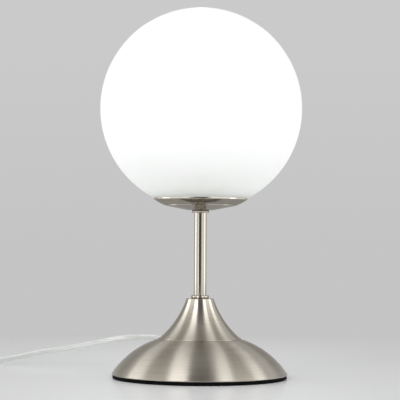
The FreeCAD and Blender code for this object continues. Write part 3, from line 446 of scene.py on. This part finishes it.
# A shallow floor that bends up into a curved band, a rolled bead, and back inside.
def dishOutline(d):
    bead = np.array([d["radius"] - d["bead"], d["top"] - d["bead"]])
    bandEnd = bead + np.array([d["bead"] / 2, 0])
    centre = circleThrough(d["bend"], bandEnd, d["bandCurve"], 1)
    inner = d["bandCurve"] - d["wall"]
    innerBend = np.array([d["bend"][0], centre[1] - sqrt(inner ** 2 - (d["bend"][0] - centre[0]) ** 2)])
    innerEnd = np.array([centre[0] + sqrt(inner ** 2 - (bead[1] - centre[1]) ** 2), bead[1]])
    floor = d["bottom"] + d["wall"]
    seat = np.array([d["seat"], d["bottom"]])
    bend = np.array(d["bend"])
    band = arcBetween(bend, bandEnd, centre, 90)
    return joinProfiles(
        lineProfile((d["hole"], d["bottom"]), seat, 4),
        lineProfile(seat, bend, 16),
        band,
        arcProfile(bead, d["bead"] * d["beadShare"], -20, 200, 18),
        arcBetween(innerEnd, innerBend, centre, 40),
        lineProfile(innerBend, (d["seat"], floor), 10),
        lineProfile((d["seat"], floor), (d["hole"], floor), 4))


# A rolled edge: a nearly upright outer face with eased corners, closed behind.
def rimOutline(d):
    top = d["top"] + d["rimRise"]
    low, high = d["top"] - d["rimLow"], top - d["rimHigh"]
    skirt, back = low - d["rimSkirt"], d["radius"] - d["rimDepth"]
    lean = d["radius"] - d["rimLean"]
    return joinProfiles(
        softCorner((d["radius"] - d["rimSkirt"], skirt), (d["radius"], skirt), (d["radius"], low), 6),
        lineProfile((d["radius"], low), (lean, high), 6),
        softCorner((lean, high), (lean, top), (lean - d["rimHigh"], top), 6),
        lineProfile((lean - d["rimHigh"], top), (back, top), 3),
        lineProfile((back, top), (back, low), 3))


# A low ridge on the band, just above the bend, with an upright outer face.
def seamOutline(d):
    out = d["seam"][0] + d["seamOut"]
    low, high = d["seam"][1] - d["seamTall"] / 3, d["seam"][1] + d["seamTall"]
    inward = d["seam"][0] - d["seamDeep"]
    return joinProfiles(
        softCorner((inward, low + d["seamTall"] / 6), (inward, low), (d["seam"][0], low), 5),
        lineProfile((d["seam"][0], low), (out, low), 3),
        lineProfile((out, low), (out, high), 4),
        lineProfile((out, high), (inward, high), 4),
        lineProfile((inward, high), (inward, low + d["seamTall"] / 6)))


dishMesh = turnedMesh("dish", dishOutline(dish))
# The dish nickel is darkened as painted shade; the rim and seam nickel are lit copies, the rim's a painted
# highlight.
dishFinish = polishedNickel("nickel in painted shade", nickel["dishPaintedShade"], nickel["dishRoughness"])
addPiece("dish", dishMesh, "lamp", "polished_nickel", dishFinish, "dish_holder")
rimFinish = polishedNickel("nickel with painted highlight", nickel["rimPaintedHighlight"])
addPiece("dish_rim", turnedMesh("dish_rim", rimOutline(dish)), "lamp", "polished_nickel", rimFinish)
seamFinish = polishedNickel("seam nickel", nickel["seamPaintedLight"])
addPiece("dish_seam", turnedMesh("dish_seam", seamOutline(dish)), "lamp", "polished_nickel", seamFinish)

# Stem and collars

stem = {  # metres
    "radius": 0.0062, "wall": 0.0008, "bottom": 0.0818, "top": 0.1631, "hole": 0.0051, "segments": 128,
}
collars = {
    "lower_collar": {"radius": 0.0089, "bottom": 0.0787, "height": 0.0031},
    "top_collar": {"radius": 0.0088, "bottom": 0.1631, "height": 0.0028},
}


# Two straight walls with the ends closed flat.
def stemOutline(s):
    inner = s["radius"] - s["wall"]
    return joinProfiles(
        lineProfile((s["radius"], s["bottom"]), (s["radius"], s["top"]), 40),
        lineProfile((s["radius"], s["top"]), (inner, s["top"])),
        lineProfile((inner, s["top"]), (inner, s["bottom"]), 4),
        lineProfile((inner, s["bottom"]), (s["radius"], s["bottom"])))


# A flat ring whose outside is half a circle.
def collarOutline(c):
    bulge = c["height"] / 2
    flat = c["radius"] - bulge
    top = c["bottom"] + c["height"]
    return joinProfiles(
        lineProfile((stem["hole"], c["bottom"]), (flat, c["bottom"])),
        arcProfile((flat, c["bottom"] + bulge), bulge, -90, 90, 20),
        lineProfile((flat, top), (stem["hole"], top)),
        lineProfile((stem["hole"], top), (stem["hole"], c["bottom"])))


stemMesh = turnedMesh("stem", stemOutline(stem), stem["segments"])
addPiece("stem", stemMesh, "lamp", "polished_nickel", finishes["polished_nickel"], "stem_tube")
for name, collar in collars.items():
    collarMesh = turnedMesh(name, collarOutline(collar), stem["segments"])
    addPiece(name, collarMesh, "lamp", "polished_nickel", finishes["polished_nickel"], name)

# Base

base = {  # metres, with the two curves the radii of the cone's hollow and the dome's swell
    "height": 0.0787, "neck": 0.01375, "neckEdge": 0.0009, "foot": 0.0408, "footBead": 0.0005,
    "coneCurve": 0.0869, "seam": 0.0386, "shoulder": 0.0410, "shoulderEdge": 0.0005, "radius": 0.0867,
    "domeCurve": 0.084, "lip": 0.0008, "lipHeight": 0.0045, "wall": 0.0012, "hole": 0.0051,
    "segments": 256,
}


# A flat top with a rounded edge, a hollow curve down to a beaded foot, and the inner wall.
def coneOutline(b):
    top = (b["neck"], b["height"] - b["neckEdge"])
    foot = (b["foot"] - b["footBead"], b["seam"] + b["footBead"])
    centre = circleThrough(top, foot, b["coneCurve"], 1)
    inner = b["coneCurve"] + b["wall"]
    innerAt = lambda z: (centre[0] - sqrt(inner ** 2 - (z - centre[1]) ** 2), z)
    innerTop, innerFoot = innerAt(b["height"] - b["wall"]), innerAt(b["seam"])
    edgeCentre = (b["neck"] - b["neckEdge"], b["height"] - b["neckEdge"])
    return joinProfiles(
        lineProfile((b["hole"], b["height"]), (edgeCentre[0], b["height"]), 8),
        arcProfile(edgeCentre, b["neckEdge"], 90, 0, 10),
        arcBetween(top, foot, centre, 90),
        arcProfile(foot, b["footBead"], 60, -90, 12),
        lineProfile((foot[0], b["seam"]), innerFoot),
        arcBetween(innerFoot, innerTop, centre, 40),
        lineProfile(innerTop, (b["hole"], innerTop[1]), 4),
        lineProfile((b["hole"], innerTop[1]), (b["hole"], b["height"])))


# A flat seat under the cone, a full curve to the rolled lip, and the inner wall.
def domeOutline(b):
    shoulder = (b["shoulder"], b["seam"])
    widest = (b["radius"], b["lipHeight"])
    centre = circleThrough(shoulder, widest, b["domeCurve"], -1)
    inner = b["domeCurve"] - b["wall"]
    innerAt = lambda z: (centre[0] + sqrt(inner ** 2 - (z - centre[1]) ** 2), z)
    under = b["seam"] - b["wall"]
    lipCentre = (b["radius"] - b["lip"], b["lipHeight"])
    curve = arcBetween(shoulder, widest, centre, 110)
    before = np.array([b["shoulder"] - b["shoulderEdge"], b["seam"]])
    softEdge = softCorner(before, shoulder, curve[1], 6)
    return joinProfiles(
        lineProfile((b["hole"], b["seam"]), before, 8),
        softEdge,
        curve[2:],
        arcProfile(lipCentre, b["lip"], 0, -180, 18),
        arcBetween(innerAt(b["lipHeight"]), innerAt(under), centre, 50),
        lineProfile(innerAt(under), (b["hole"], under), 4),
        lineProfile((b["hole"], under), (b["hole"], b["seam"])))


coneMesh = turnedMesh("cone", coneOutline(base), base["segments"])
coneFinish = brushedNickel("cone brushed nickel", brushing["cone"])
addPiece("cone", coneMesh, "lamp", "brushed_nickel", coneFinish, "base_cone")
domeMesh = turnedMesh("dome", domeOutline(base), base["segments"])
addPiece("dome", domeMesh, "lamp", "brushed_nickel", finishes["brushed_nickel"], "base_dome")

pad = {"radius": 0.0859, "height": 0.0037, "edge": 0.0009}


# A disc whose edges are rounded above and below.
def padOutline(p):
    low, high = p["edge"], p["height"] - p["edge"]
    rim = p["radius"] - p["edge"]
    return joinProfiles(
        lineProfile((0.0, 0.0), (rim, 0.0), 12),
        arcProfile((rim, low), p["edge"], -90, 0, 8),
        arcProfile((rim, high), p["edge"], 0, 90, 8),
        lineProfile((rim, p["height"]), (0.0, p["height"]), 12))


padMesh = turnedMesh("pad", padOutline(pad), closed=False)
addPiece("pad", padMesh, "lamp", "black_pad", finishes["black_pad"], "base_pad")
print("globe, dish, stem and base made")

# Cord: one route from the grip to the plug, through the switch and the coil

cord = {  # metres: free goes from grip to switch, lead on to the coil, and tail from there to the plug
    "width": 0.006, "thickness": 0.0034, "length": 1.795,
    "free": [
        (-0.01963, 0.0965, 0.02326), (-0.02244, 0.11031, 0.02839), (-0.0310, 0.1230, 0.0303),
        (-0.0440, 0.1310, 0.0315), (-0.0620, 0.1350, 0.0321), (-0.0860, 0.1365, 0.0306),
        (-0.1140, 0.1415, 0.0248), (-0.1440, 0.1495, 0.0182), (-0.1740, 0.1555, 0.0136),
        (-0.2020, 0.1590, 0.0070), (-0.2260, 0.1580, 0.00305), (-0.2407, 0.1517, 0.00305),
        (-0.2518, 0.1402, 0.0039), (-0.2575, 0.1253, 0.0070), (-0.2575, 0.1110, 0.0070)],
    "lead": [
        (-0.2575, 0.0550, 0.0070), (-0.2575, 0.0450, 0.0070), (-0.2579, 0.0325, 0.0056),
        (-0.2575, 0.0190, 0.00385), (-0.2575, 0.0060, 0.00385)],
    "tail": [
        (-0.2575, -0.0060, 0.01035), (-0.2575, -0.0160, 0.01035), (-0.2579, -0.0280, 0.0087),
        (-0.2575, -0.0400, 0.0065), (-0.2575, -0.0500, 0.0065)],
    "rollDegrees": 32, "rollWave": 0.17, "rollPhase": 0.6,
    "rollEnd": 0.27, "rollFadeIn": 0.03, "rollFadeOut": 0.05,  # the flat cord's slow roll where it lies free
    "lobePower": 0.35, "grooveDepth": 0.34, "grooveWidth": 0.22, "sides": 24,
    "drawnSteps": 5, "leastStep": 1e-6,
}
coil = {  # metres, and half circles inwards and outwards
    "centre": (-0.30275, 0.0), "radius": 0.04525, "step": 0.00325, "inward": 7, "outward": 5,
    "level": 0.00385, "rise": 0.0065, "pointsPerHalf": 20,
}


# Half circles whose radius shrinks by a step each, then grows again a layer up. The last inward one climbs by
# 3 s^2 - 2 s^3 of the rise, with s its share of the half circle.
def coilPoints(c):
    radii = [c["radius"] - c["step"] * k for k in range(c["inward"])]
    radii += radii[::-1][1:c["outward"] + 1]
    spot = np.array([c["centre"][0] + c["radius"], c["centre"][1], c["level"]])
    stretches = [spot[None]]
    share = (np.arange(1, c["pointsPerHalf"] + 1) / c["pointsPerHalf"])[:, None]
    for index, radius in enumerate(radii):
        side = -1 if index % 2 == 0 else 1
        climb = c["rise"] if index == c["inward"] - 1 else 0.0
        middle = spot + np.array([side * radius, 0, 0])
        angle = pi * share
        height = climb * share ** 2 * (3 - 2 * share)
        turned = np.concatenate([-side * radius * np.cos(angle), side * radius * np.sin(angle), height], 1)
        arcPoints = middle + turned
        stretches.append(arcPoints)
        spot = arcPoints[-1]
    return np.concatenate(stretches)


# A smooth open curve with the route's points as its control points.
def routeCurve(name, points):
    curve = bpy.data.curves.new(name, "CURVE")
    curve.dimensions = "3D"
    curve.resolution_u = cord["drawnSteps"]
    spline = curve.splines.new("NURBS")
    spline.points.add(len(points) - 1)
    spline.points.foreach_set("co", np.concatenate([points, np.ones((len(points), 1))], 1).ravel())
    spline.order_u = 3
    spline.use_endpoint_u = True
    return curve


# The points of a curve as it is drawn, read from its own line.
def curveLine(curve):
    holder = bpy.data.objects.new(curve.name, curve)
    bpy.context.scene.collection.objects.link(holder)
    mesh = bpy.data.meshes.new_from_object(holder)
    line = np.zeros(len(mesh.vertices) * 3)
    mesh.vertices.foreach_get("co", line)
    bpy.data.objects.remove(holder)
    bpy.data.meshes.remove(mesh)
    return line.reshape(-1, 3)


route = np.concatenate([cord["free"], cord["lead"], coilPoints(coil), cord["tail"]])
line = curveLine(routeCurve("cord_route", route))
gaps = np.linalg.norm(np.diff(line, axis=0), axis=1)
line = line[np.concatenate([[True], gaps > cord["leastStep"]])]


# Across and up at each point: up is the vertical less its share along the line, then both roll by an angle.
def lineFrames(points, roll):
    along = np.gradient(points, axis=0)
    along /= np.linalg.norm(along, axis=1)[:, None]
    up = np.array([0, 0, 1.0]) - along * along[:, 2:3]
    up /= np.linalg.norm(up, axis=1)[:, None]
    across = np.cross(along, up)
    turn = roll[:, None]
    return np.cos(turn) * across + np.sin(turn) * up, np.cos(turn) * up - np.sin(turn) * across


# How far along the line each point is: the steps' lengths added up.
def travelled(points):
    return np.concatenate([[0], np.cumsum(np.linalg.norm(np.diff(points, axis=0), axis=1))])


distance = travelled(line)
fadeIn = np.clip(distance / cord["rollFadeIn"], 0, 1)
fade = np.clip((cord["rollEnd"] - distance) / cord["rollFadeOut"], 0, 1) * fadeIn
roll = radians(cord["rollDegrees"]) * np.sin(2 * pi * distance / cord["rollWave"] + cord["rollPhase"]) * fade
across, up = lineFrames(line, roll)


# A flat twin cord's outline: a circle as wide as the cord is thick, whose halves are set apart by a power of
# the sine, narrowed at the middle by a bell-shaped groove.
def twinSection(c, count):
    angle = np.linspace(0, 2 * pi, count, endpoint=False)
    sine = np.sin(angle)
    thickness = c["thickness"]
    lobe = (c["width"] - thickness) / 2
    x = thickness / 2 * np.cos(angle)
    y = thickness / 2 * sine + lobe * np.sign(sine) * np.abs(sine) ** c["lobePower"]
    pinch = 1 - c["grooveDepth"] * np.exp(-(y / (c["grooveWidth"] * thickness)) ** 2)
    return x * pinch, y


# A section carried along a line: each ring is the point plus x sideways plus y upwards, and both ends close
# on the line.
def sweptMesh(name, points, sideways, upwards, x, y):
    rings = points[:, None] + sideways[:, None] * x[None, :, None] + upwards[:, None] * y[None, :, None]
    rings = np.concatenate([points[:1, None] + 0 * rings[:1], rings, points[-1:, None] + 0 * rings[:1]])
    length = travelled(rings.mean(1))
    share = np.linspace(0, 1, rings.shape[1] + 1)
    mapPlace = lambda i, j: np.stack([length[i], share[j]], 1)
    return meshFromGrid(name, rings, closeColumns=True, uv=mapPlace, sharpAngle=60)


sectionX, sectionY = twinSection(cord, cord["sides"])
cordMesh = sweptMesh("cord", line, across, up, sectionX, sectionY)
cordPiece = addPiece(
    "cord", cordMesh, "lamp", "clear_pvc", finishes["clear_pvc"],
    "power_cord", "cord_lead", "cord_coil", "cord_tail")

strand = {  # metres, with lay the length of one twist
    "radius": 0.00085, "offset": 0.00135, "sides": 8, "lay": 0.014, "wires": 7, "relief": 0.25,
    "reliefDepth": 0.0001, "dark": (0.90, 0.89, 0.86), "light": (0.97, 0.96, 0.93), "metal": 0.35,
    "roughness": 0.34,
}


# Tinned wires laid in a slow twist: ridges that run slantwise along the map, lighter on their tops as a
# painted highlight and darker between the wires as painted shade.
def strandFinish(name):
    material, tree, shader = newMaterial(name, strand["light"], strand["metal"], strand["roughness"])
    wave = tree.nodes.new("ShaderNodeTexWave")
    wave.inputs["Scale"].default_value = 1.0
    mapping = tree.nodes.new("ShaderNodeMapping")
    mapping.inputs["Scale"].default_value = (1 / strand["lay"], strand["wires"], 1)
    tree.links.new(place(tree, "UV"), mapping.inputs["Vector"])
    tree.links.new(mapping.outputs["Vector"], wave.inputs["Vector"])
    wave.wave_type = "BANDS"
    wave.bands_direction = "DIAGONAL"
    # painted highlight on the ridges and painted shade between them, following the relief
    color = shaded(tree, wave.outputs["Fac"], strand["dark"], strand["light"])
    tree.links.new(color, shader.inputs["Base Color"])
    bumped(tree, wave.outputs["Fac"], shader, strand["relief"], strand["reliefDepth"])
    return material


strandMaterial = strandFinish("tinned strands")
ringAngle = np.linspace(0, 2 * pi, strand["sides"], endpoint=False)
ringX, ringY = strand["radius"] * np.cos(ringAngle), strand["radius"] * np.sin(ringAngle)
for side, name in ((-1, "lower_strand"), (1, "upper_strand")):
    centreLine = line + up * (side * strand["offset"])
    strandMesh = sweptMesh(name, centreLine, across, up, ringX, ringY)
    addPiece(name, strandMesh, "lamp", "clear_pvc", strandMaterial)

# Grip: flange, tail and its ribs, turned about the line along which the cord leaves

grip = {  # metres, degrees for azimuth and tilt, and shares of the tail's length for where its ribs are
    "azimuth": 101.5, "radius": 0.07781, "tilt": 20.0, "length": 0.022,
    "root": 0.0052, "rootDepth": 0.002, "tip": 0.0040, "tipEdge": 0.0006,
    "ribs": 5, "ribDepth": 0.0005, "ribFrom": 0.28, "ribTo": 0.90, "ribSpan": 0.62,
    "flange": 0.0075, "flangeThickness": 0.0016, "flangeEdge": 0.0005, "flangeLift": 0.00005,
    "rows": 60, "segments": 48, "sharpAngle": 40,
}


# A unit vector in the grip's upright plane: the cosine of its elevation outwards and the sine upwards.
def outwardAt(elevation):
    azimuth = radians(grip["azimuth"])
    return np.array([cos(elevation) * cos(azimuth), cos(elevation) * sin(azimuth), sin(elevation)])


# An outline of (distance out, distance along) turned about any line: the origin plus out times the cosine and
# sine of the angle on two square directions, plus along times the line's own.
def aboutLine(origin, axis, outline, segments):
    side = np.cross(axis, [0, 0, 1.0])
    side /= np.linalg.norm(side)
    other = np.cross(axis, side)
    angle = np.linspace(0, 2 * pi, segments, endpoint=False)[None, :, None]
    out, along = outline[:, 0][:, None, None], outline[:, 1][:, None, None]
    return origin + out * (np.cos(angle) * side + np.sin(angle) * other) + along * axis


domeEdges = (base["shoulder"], base["seam"]), (base["radius"], base["lipHeight"])
domeCentre = circleThrough(*domeEdges, base["domeCurve"], -1)
gripHeight = domeCentre[1] + sqrt(base["domeCurve"] ** 2 - (grip["radius"] - domeCentre[0]) ** 2)
gripNormal = outwardAt(atan2(gripHeight - domeCentre[1], grip["radius"] - domeCentre[0]))
gripAlong = outwardAt(radians(grip["tilt"]))
gripSeat = outwardAt(0.0) * grip["radius"] + np.array([0, 0, gripHeight])
t = np.linspace(0, 1, grip["rows"])
ribWave = np.clip(np.sin(2 * pi * grip["ribs"] * (t - grip["ribFrom"]) / grip["ribSpan"]), 0, 1)
ribbing = grip["ribDepth"] * ribWave * ((t > grip["ribFrom"]) & (t < grip["ribTo"]))
tailOut = grip["root"] + (grip["tip"] - grip["root"]) * t - ribbing
tailOutline = np.concatenate([
    [[0.0, -grip["rootDepth"]], [grip["root"], -grip["rootDepth"]]],
    np.stack([tailOut, t * (grip["length"] - grip["tipEdge"])], 1),
    [[grip["tip"] - grip["tipEdge"], grip["length"]], [0.0, grip["length"]]]])
tailGrid = aboutLine(gripSeat, gripAlong, tailOutline, grip["segments"])
tailMesh = meshFromGrid("grip_tail", tailGrid, closeColumns=True, sharpAngle=grip["sharpAngle"])
gripFinish = grained(
    "clear grip", (0.80, 0.82, 0.80), (0.85, 0.87, 0.85), 0.0, 0.24, 0.32, (2200, 2200, 2200), 0.12, 0.00002,
    Transmission_Weight=0.35)
gripTail = addPiece("grip_tail", tailMesh, "lamp", "clear_pvc", gripFinish)
edge = grip["flangeEdge"]
flangeOutline = joinProfiles(
    np.array([[0.0, grip["flangeLift"]], [grip["flange"], grip["flangeLift"]]]),
    arcProfile((grip["flange"] - edge, grip["flangeThickness"] - edge), edge, 0, 90, 6),
    np.array([[0.0, grip["flangeThickness"]]]))
flangeGrid = aboutLine(gripSeat, gripNormal, flangeOutline, grip["segments"])
flangeMesh = meshFromGrid("grip_flange", flangeGrid, closeColumns=True, sharpAngle=grip["sharpAngle"])
gripFlange = addPiece("grip_flange", flangeMesh, "lamp", "clear_pvc", gripFinish, "cord_grip")
gripTip = gripSeat + gripAlong * grip["length"]
print("cord length", round(float(distance[-1]), 4), "grip tip", np.round(gripTip, 4))


# Camera, floor, air and light tent

camera = {  # metres and degrees, and the focal length in widths of the picture
    "distance": 1.4855, "height": 0.1318, "pitch": 1.70, "yaw": 0.014, "roll": -0.36, "focal": 3.75,
    "sensor": 36.0,  # millimetres
}
cameraData = bpy.data.cameras.new("camera")
cameraData.sensor_width = camera["sensor"]
cameraData.lens = camera["sensor"] * camera["focal"]
cameraObject = bpy.data.objects.new("camera", cameraData)
cameraObject.location = (0, -camera["distance"], camera["height"])
cameraObject.rotation_euler = (radians(90 + camera["pitch"]), radians(camera["roll"]), radians(camera["yaw"]))
bpy.context.scene.collection.objects.link(cameraObject)
bpy.context.scene.camera = cameraObject
bpy.context.scene.view_settings.view_transform = "Standard"

studio = {
    "floorRings": (0.0, 0.5, 2.0, 14.0), "floorSegments": 96, "floorColor": (0.83, 0.835, 0.845),
    "floorRoughness": 0.26, "floorFade": (0.22, 0.70),  # rings and fade in metres from the lamp's foot
    "wallLow": (0.555, 0.555, 0.558), "wallHigh": (0.595, 0.595, 0.60), "wallClimb": 0.16,
}


# Pale paint near the lamp that goes over to the wall's tone further out, where it is seen as a background.
def floorFinish(name):
    material, tree, shader = newMaterial(name, studio["floorColor"], 0.0, studio["floorRoughness"])
    output = tree.nodes["Material Output"]
    plain = tree.nodes.new("ShaderNodeEmission")
    plain.inputs["Color"].default_value = (*studio["wallLow"], 1.0)
    distanceOut = tree.nodes.new("ShaderNodeVectorMath")
    distanceOut.operation = "LENGTH"
    tree.links.new(place(tree), distanceOut.inputs[0])
    fadeOut = ranged(tree, distanceOut.outputs["Value"], 0.0, 1.0, *studio["floorFade"])
    path = tree.nodes.new("ShaderNodeLightPath")
    seen = combined(tree, "MAXIMUM", path.outputs["Is Camera Ray"], path.outputs["Is Glossy Ray"])
    seen = combined(tree, "MAXIMUM", seen, path.outputs["Is Transmission Ray"])
    mix = tree.nodes.new("ShaderNodeMixShader")
    tree.links.new(combined(tree, "MULTIPLY", fadeOut, seen), mix.inputs["Fac"])
    tree.links.new(shader.outputs["BSDF"], mix.inputs[1])
    tree.links.new(plain.outputs["Emission"], mix.inputs[2])
    tree.links.new(mix.outputs["Shader"], output.inputs["Surface"])
    return material


# Puts a mesh in the scene as a part of the studio.
def stageObject(name, mesh, material):
    item = bpy.data.objects.new(name, mesh)
    bpy.context.scene.collection.objects.link(item)
    mesh.materials.append(material)
    return item


floorGrid = np.array([[ring, 0.0] for ring in studio["floorRings"]])
floorMesh = turnedMesh("floor", floorGrid, studio["floorSegments"], closed=False)
stageObject("floor", floorMesh, floorFinish("floor paint"))

world = bpy.data.worlds.new("studio air")
bpy.context.scene.world = world
world.use_nodes = True
air = world.node_tree
background = air.nodes["Background"]
direction = air.nodes.new("ShaderNodeTexCoord")
climb = ranged(air, oneAxis(air, direction.outputs["Generated"], "Z"), 0.0, 1.0, 0.0, studio["wallClimb"])
air.links.new(shaded(air, climb, studio["wallLow"], studio["wallHigh"], 0.0, 1.0), background.inputs["Color"])
background.inputs["Strength"].default_value = 1.0

# Light tent: strips and dark flags lie where a brushed surface sends the camera's line of sight
tent = {  # metres, and degrees of climb for the bends in a panel's brightness
    "reach": 2.3, "flagReach": 2.27, "middle": 0.10, "rows": 26, "columns": 3,
    "bends": (2.5, 4.5, 10, 15, 30), "strongest": 4.0,
    "tint": (1.0, 1.005, 1.01), "flagTint": (1.0, 0.97, 0.90),
}
panels = {  # facing from and to, climb from and to, in degrees, then the brightness: one, or foot to top
    "strip far left": (-54, -40, -2, 50, 2.3, 2.3, 0.6, 0.7, 3.8, 1.0, 0.50),
    "low panel left": (-41, -21, -2, 9, 0.92),
    "softbox left": (-21, -7.5, -2, 50, 2.2, 0.75, 0.9, 1.2, 3.9, 1.9, 0.55),
    "softbox right": (12.5, 22.5, -2, 50, 1.1, 1.1, 0.8, 1.2, 3.4, 1.5, 0.60),
    "low panel right": (22, 38, -2, 9, 1.05),
    "strip far right": (38, 48, -2, 50, 2.3, 2.3, 0.6, 0.7, 3.7, 1.05, 0.65),
    "side panel right": (48, 60, -2, 50, 1.0, 1.0, 0.6, 0.6, 0.9, 0.7, 0.5),
    "side panel low left": (-66, -54, -2, 9, 0.80),
    "side panel low right": (60, 70, -2, 9, 0.85),
    "flag left": (-39, -24, 9, 52, 1.0, 1.0, 1.0, 1.25, 1.5, 0.48, 0.07),
    "flag middle": (-8, 9, 2, 62, 0.10, 0.10, 0.10, 0.12, 0.18, 0.10, 0.08),
    "flag middle low": (-13.5, 7, -2, 2.6, 0.07),
    "flag right": (24, 36, 9, 52, 1.2, 1.2, 1.2, 1.4, 1.65, 0.50, 0.08),
    "flag far left": (-84, -60, 14, 60, 0.35),
    "flag far right": (64, 84, 14, 60, 0.32),
    "flag top left": (-58, -8, 53, 80, 0.34),
    "flag top right": (9, 62, 53, 80, 0.34),
}


# With h the way a surface faces and v the way to the camera, each point lies along 2 (h.v) h - v, at the
# reach from the tent's middle.
def tentMesh(name, reach, fromFacing, toFacing, fromClimb, toClimb):
    facing = np.radians(np.linspace(fromFacing, toFacing, tent["columns"] + 1))[None, :]
    climb = np.radians(np.linspace(fromClimb, toClimb, tent["rows"] + 1))[:, None]
    outwards = np.cos(climb)
    h = np.stack([outwards * np.sin(facing), -outwards * np.cos(facing), np.sin(climb) + 0 * facing], 2)
    v = np.array([0, -1.0, 0])
    way = 2 * (h @ v)[:, :, None] * h - v
    share = lambda i, j: np.stack([j / tent["columns"], i / tent["rows"]], 1)
    return meshFromGrid(name, np.array([0, 0, tent["middle"]]) + reach * way, uv=share)


# A plain glow that changes with climb, from the foot of a panel to its top. Bends outside it are left out.
def glowFinish(name, tint, climbs, levels):
    material, tree, shader = newMaterial(
        name, (0.0, 0.0, 0.0), 0.0, 1.0, Specular_IOR_Level=0.0, Emission_Strength=tent["strongest"])
    spots = [(climb - climbs[0]) / (climbs[-1] - climbs[0]) for climb in climbs]
    kept = [(spot, level / tent["strongest"]) for spot, level in zip(spots, levels) if 0 <= spot <= 1]
    ramp = tree.nodes.new("ShaderNodeValToRGB")
    stops = ramp.color_ramp.elements
    for spot, _ in kept[1:-1]:
        stops.new(spot)
    for stop, (_, level) in zip(stops, kept):
        stop.color = (*[level * share for share in tint], 1.0)
    tree.links.new(oneAxis(tree, place(tree, "UV"), "Y"), ramp.inputs["Fac"])
    tree.links.new(ramp.outputs["Color"], shader.inputs["Emission Color"])
    return material


for name, (fromFacing, toFacing, fromClimb, toClimb, *levels) in panels.items():
    title = name.replace(" ", "_")
    flag = "flag" in name
    plain = len(levels) == 1  # as bright at its top as at its foot
    climbs = (fromClimb, toClimb) if plain else (fromClimb, *tent["bends"], toClimb)
    tint, reach = (tent["flagTint"], tent["flagReach"]) if flag else (tent["tint"], tent["reach"])
    glow = glowFinish(title, tint, climbs, levels * 2 if plain else levels)
    panelMesh = tentMesh(title, reach, fromFacing, toFacing, fromClimb, toClimb)
    panel = stageObject(title, panelMesh, glow)
    panel.visible_camera = False
    panel.visible_shadow = False
    panel.visible_diffuse = not flag
print("stage set")
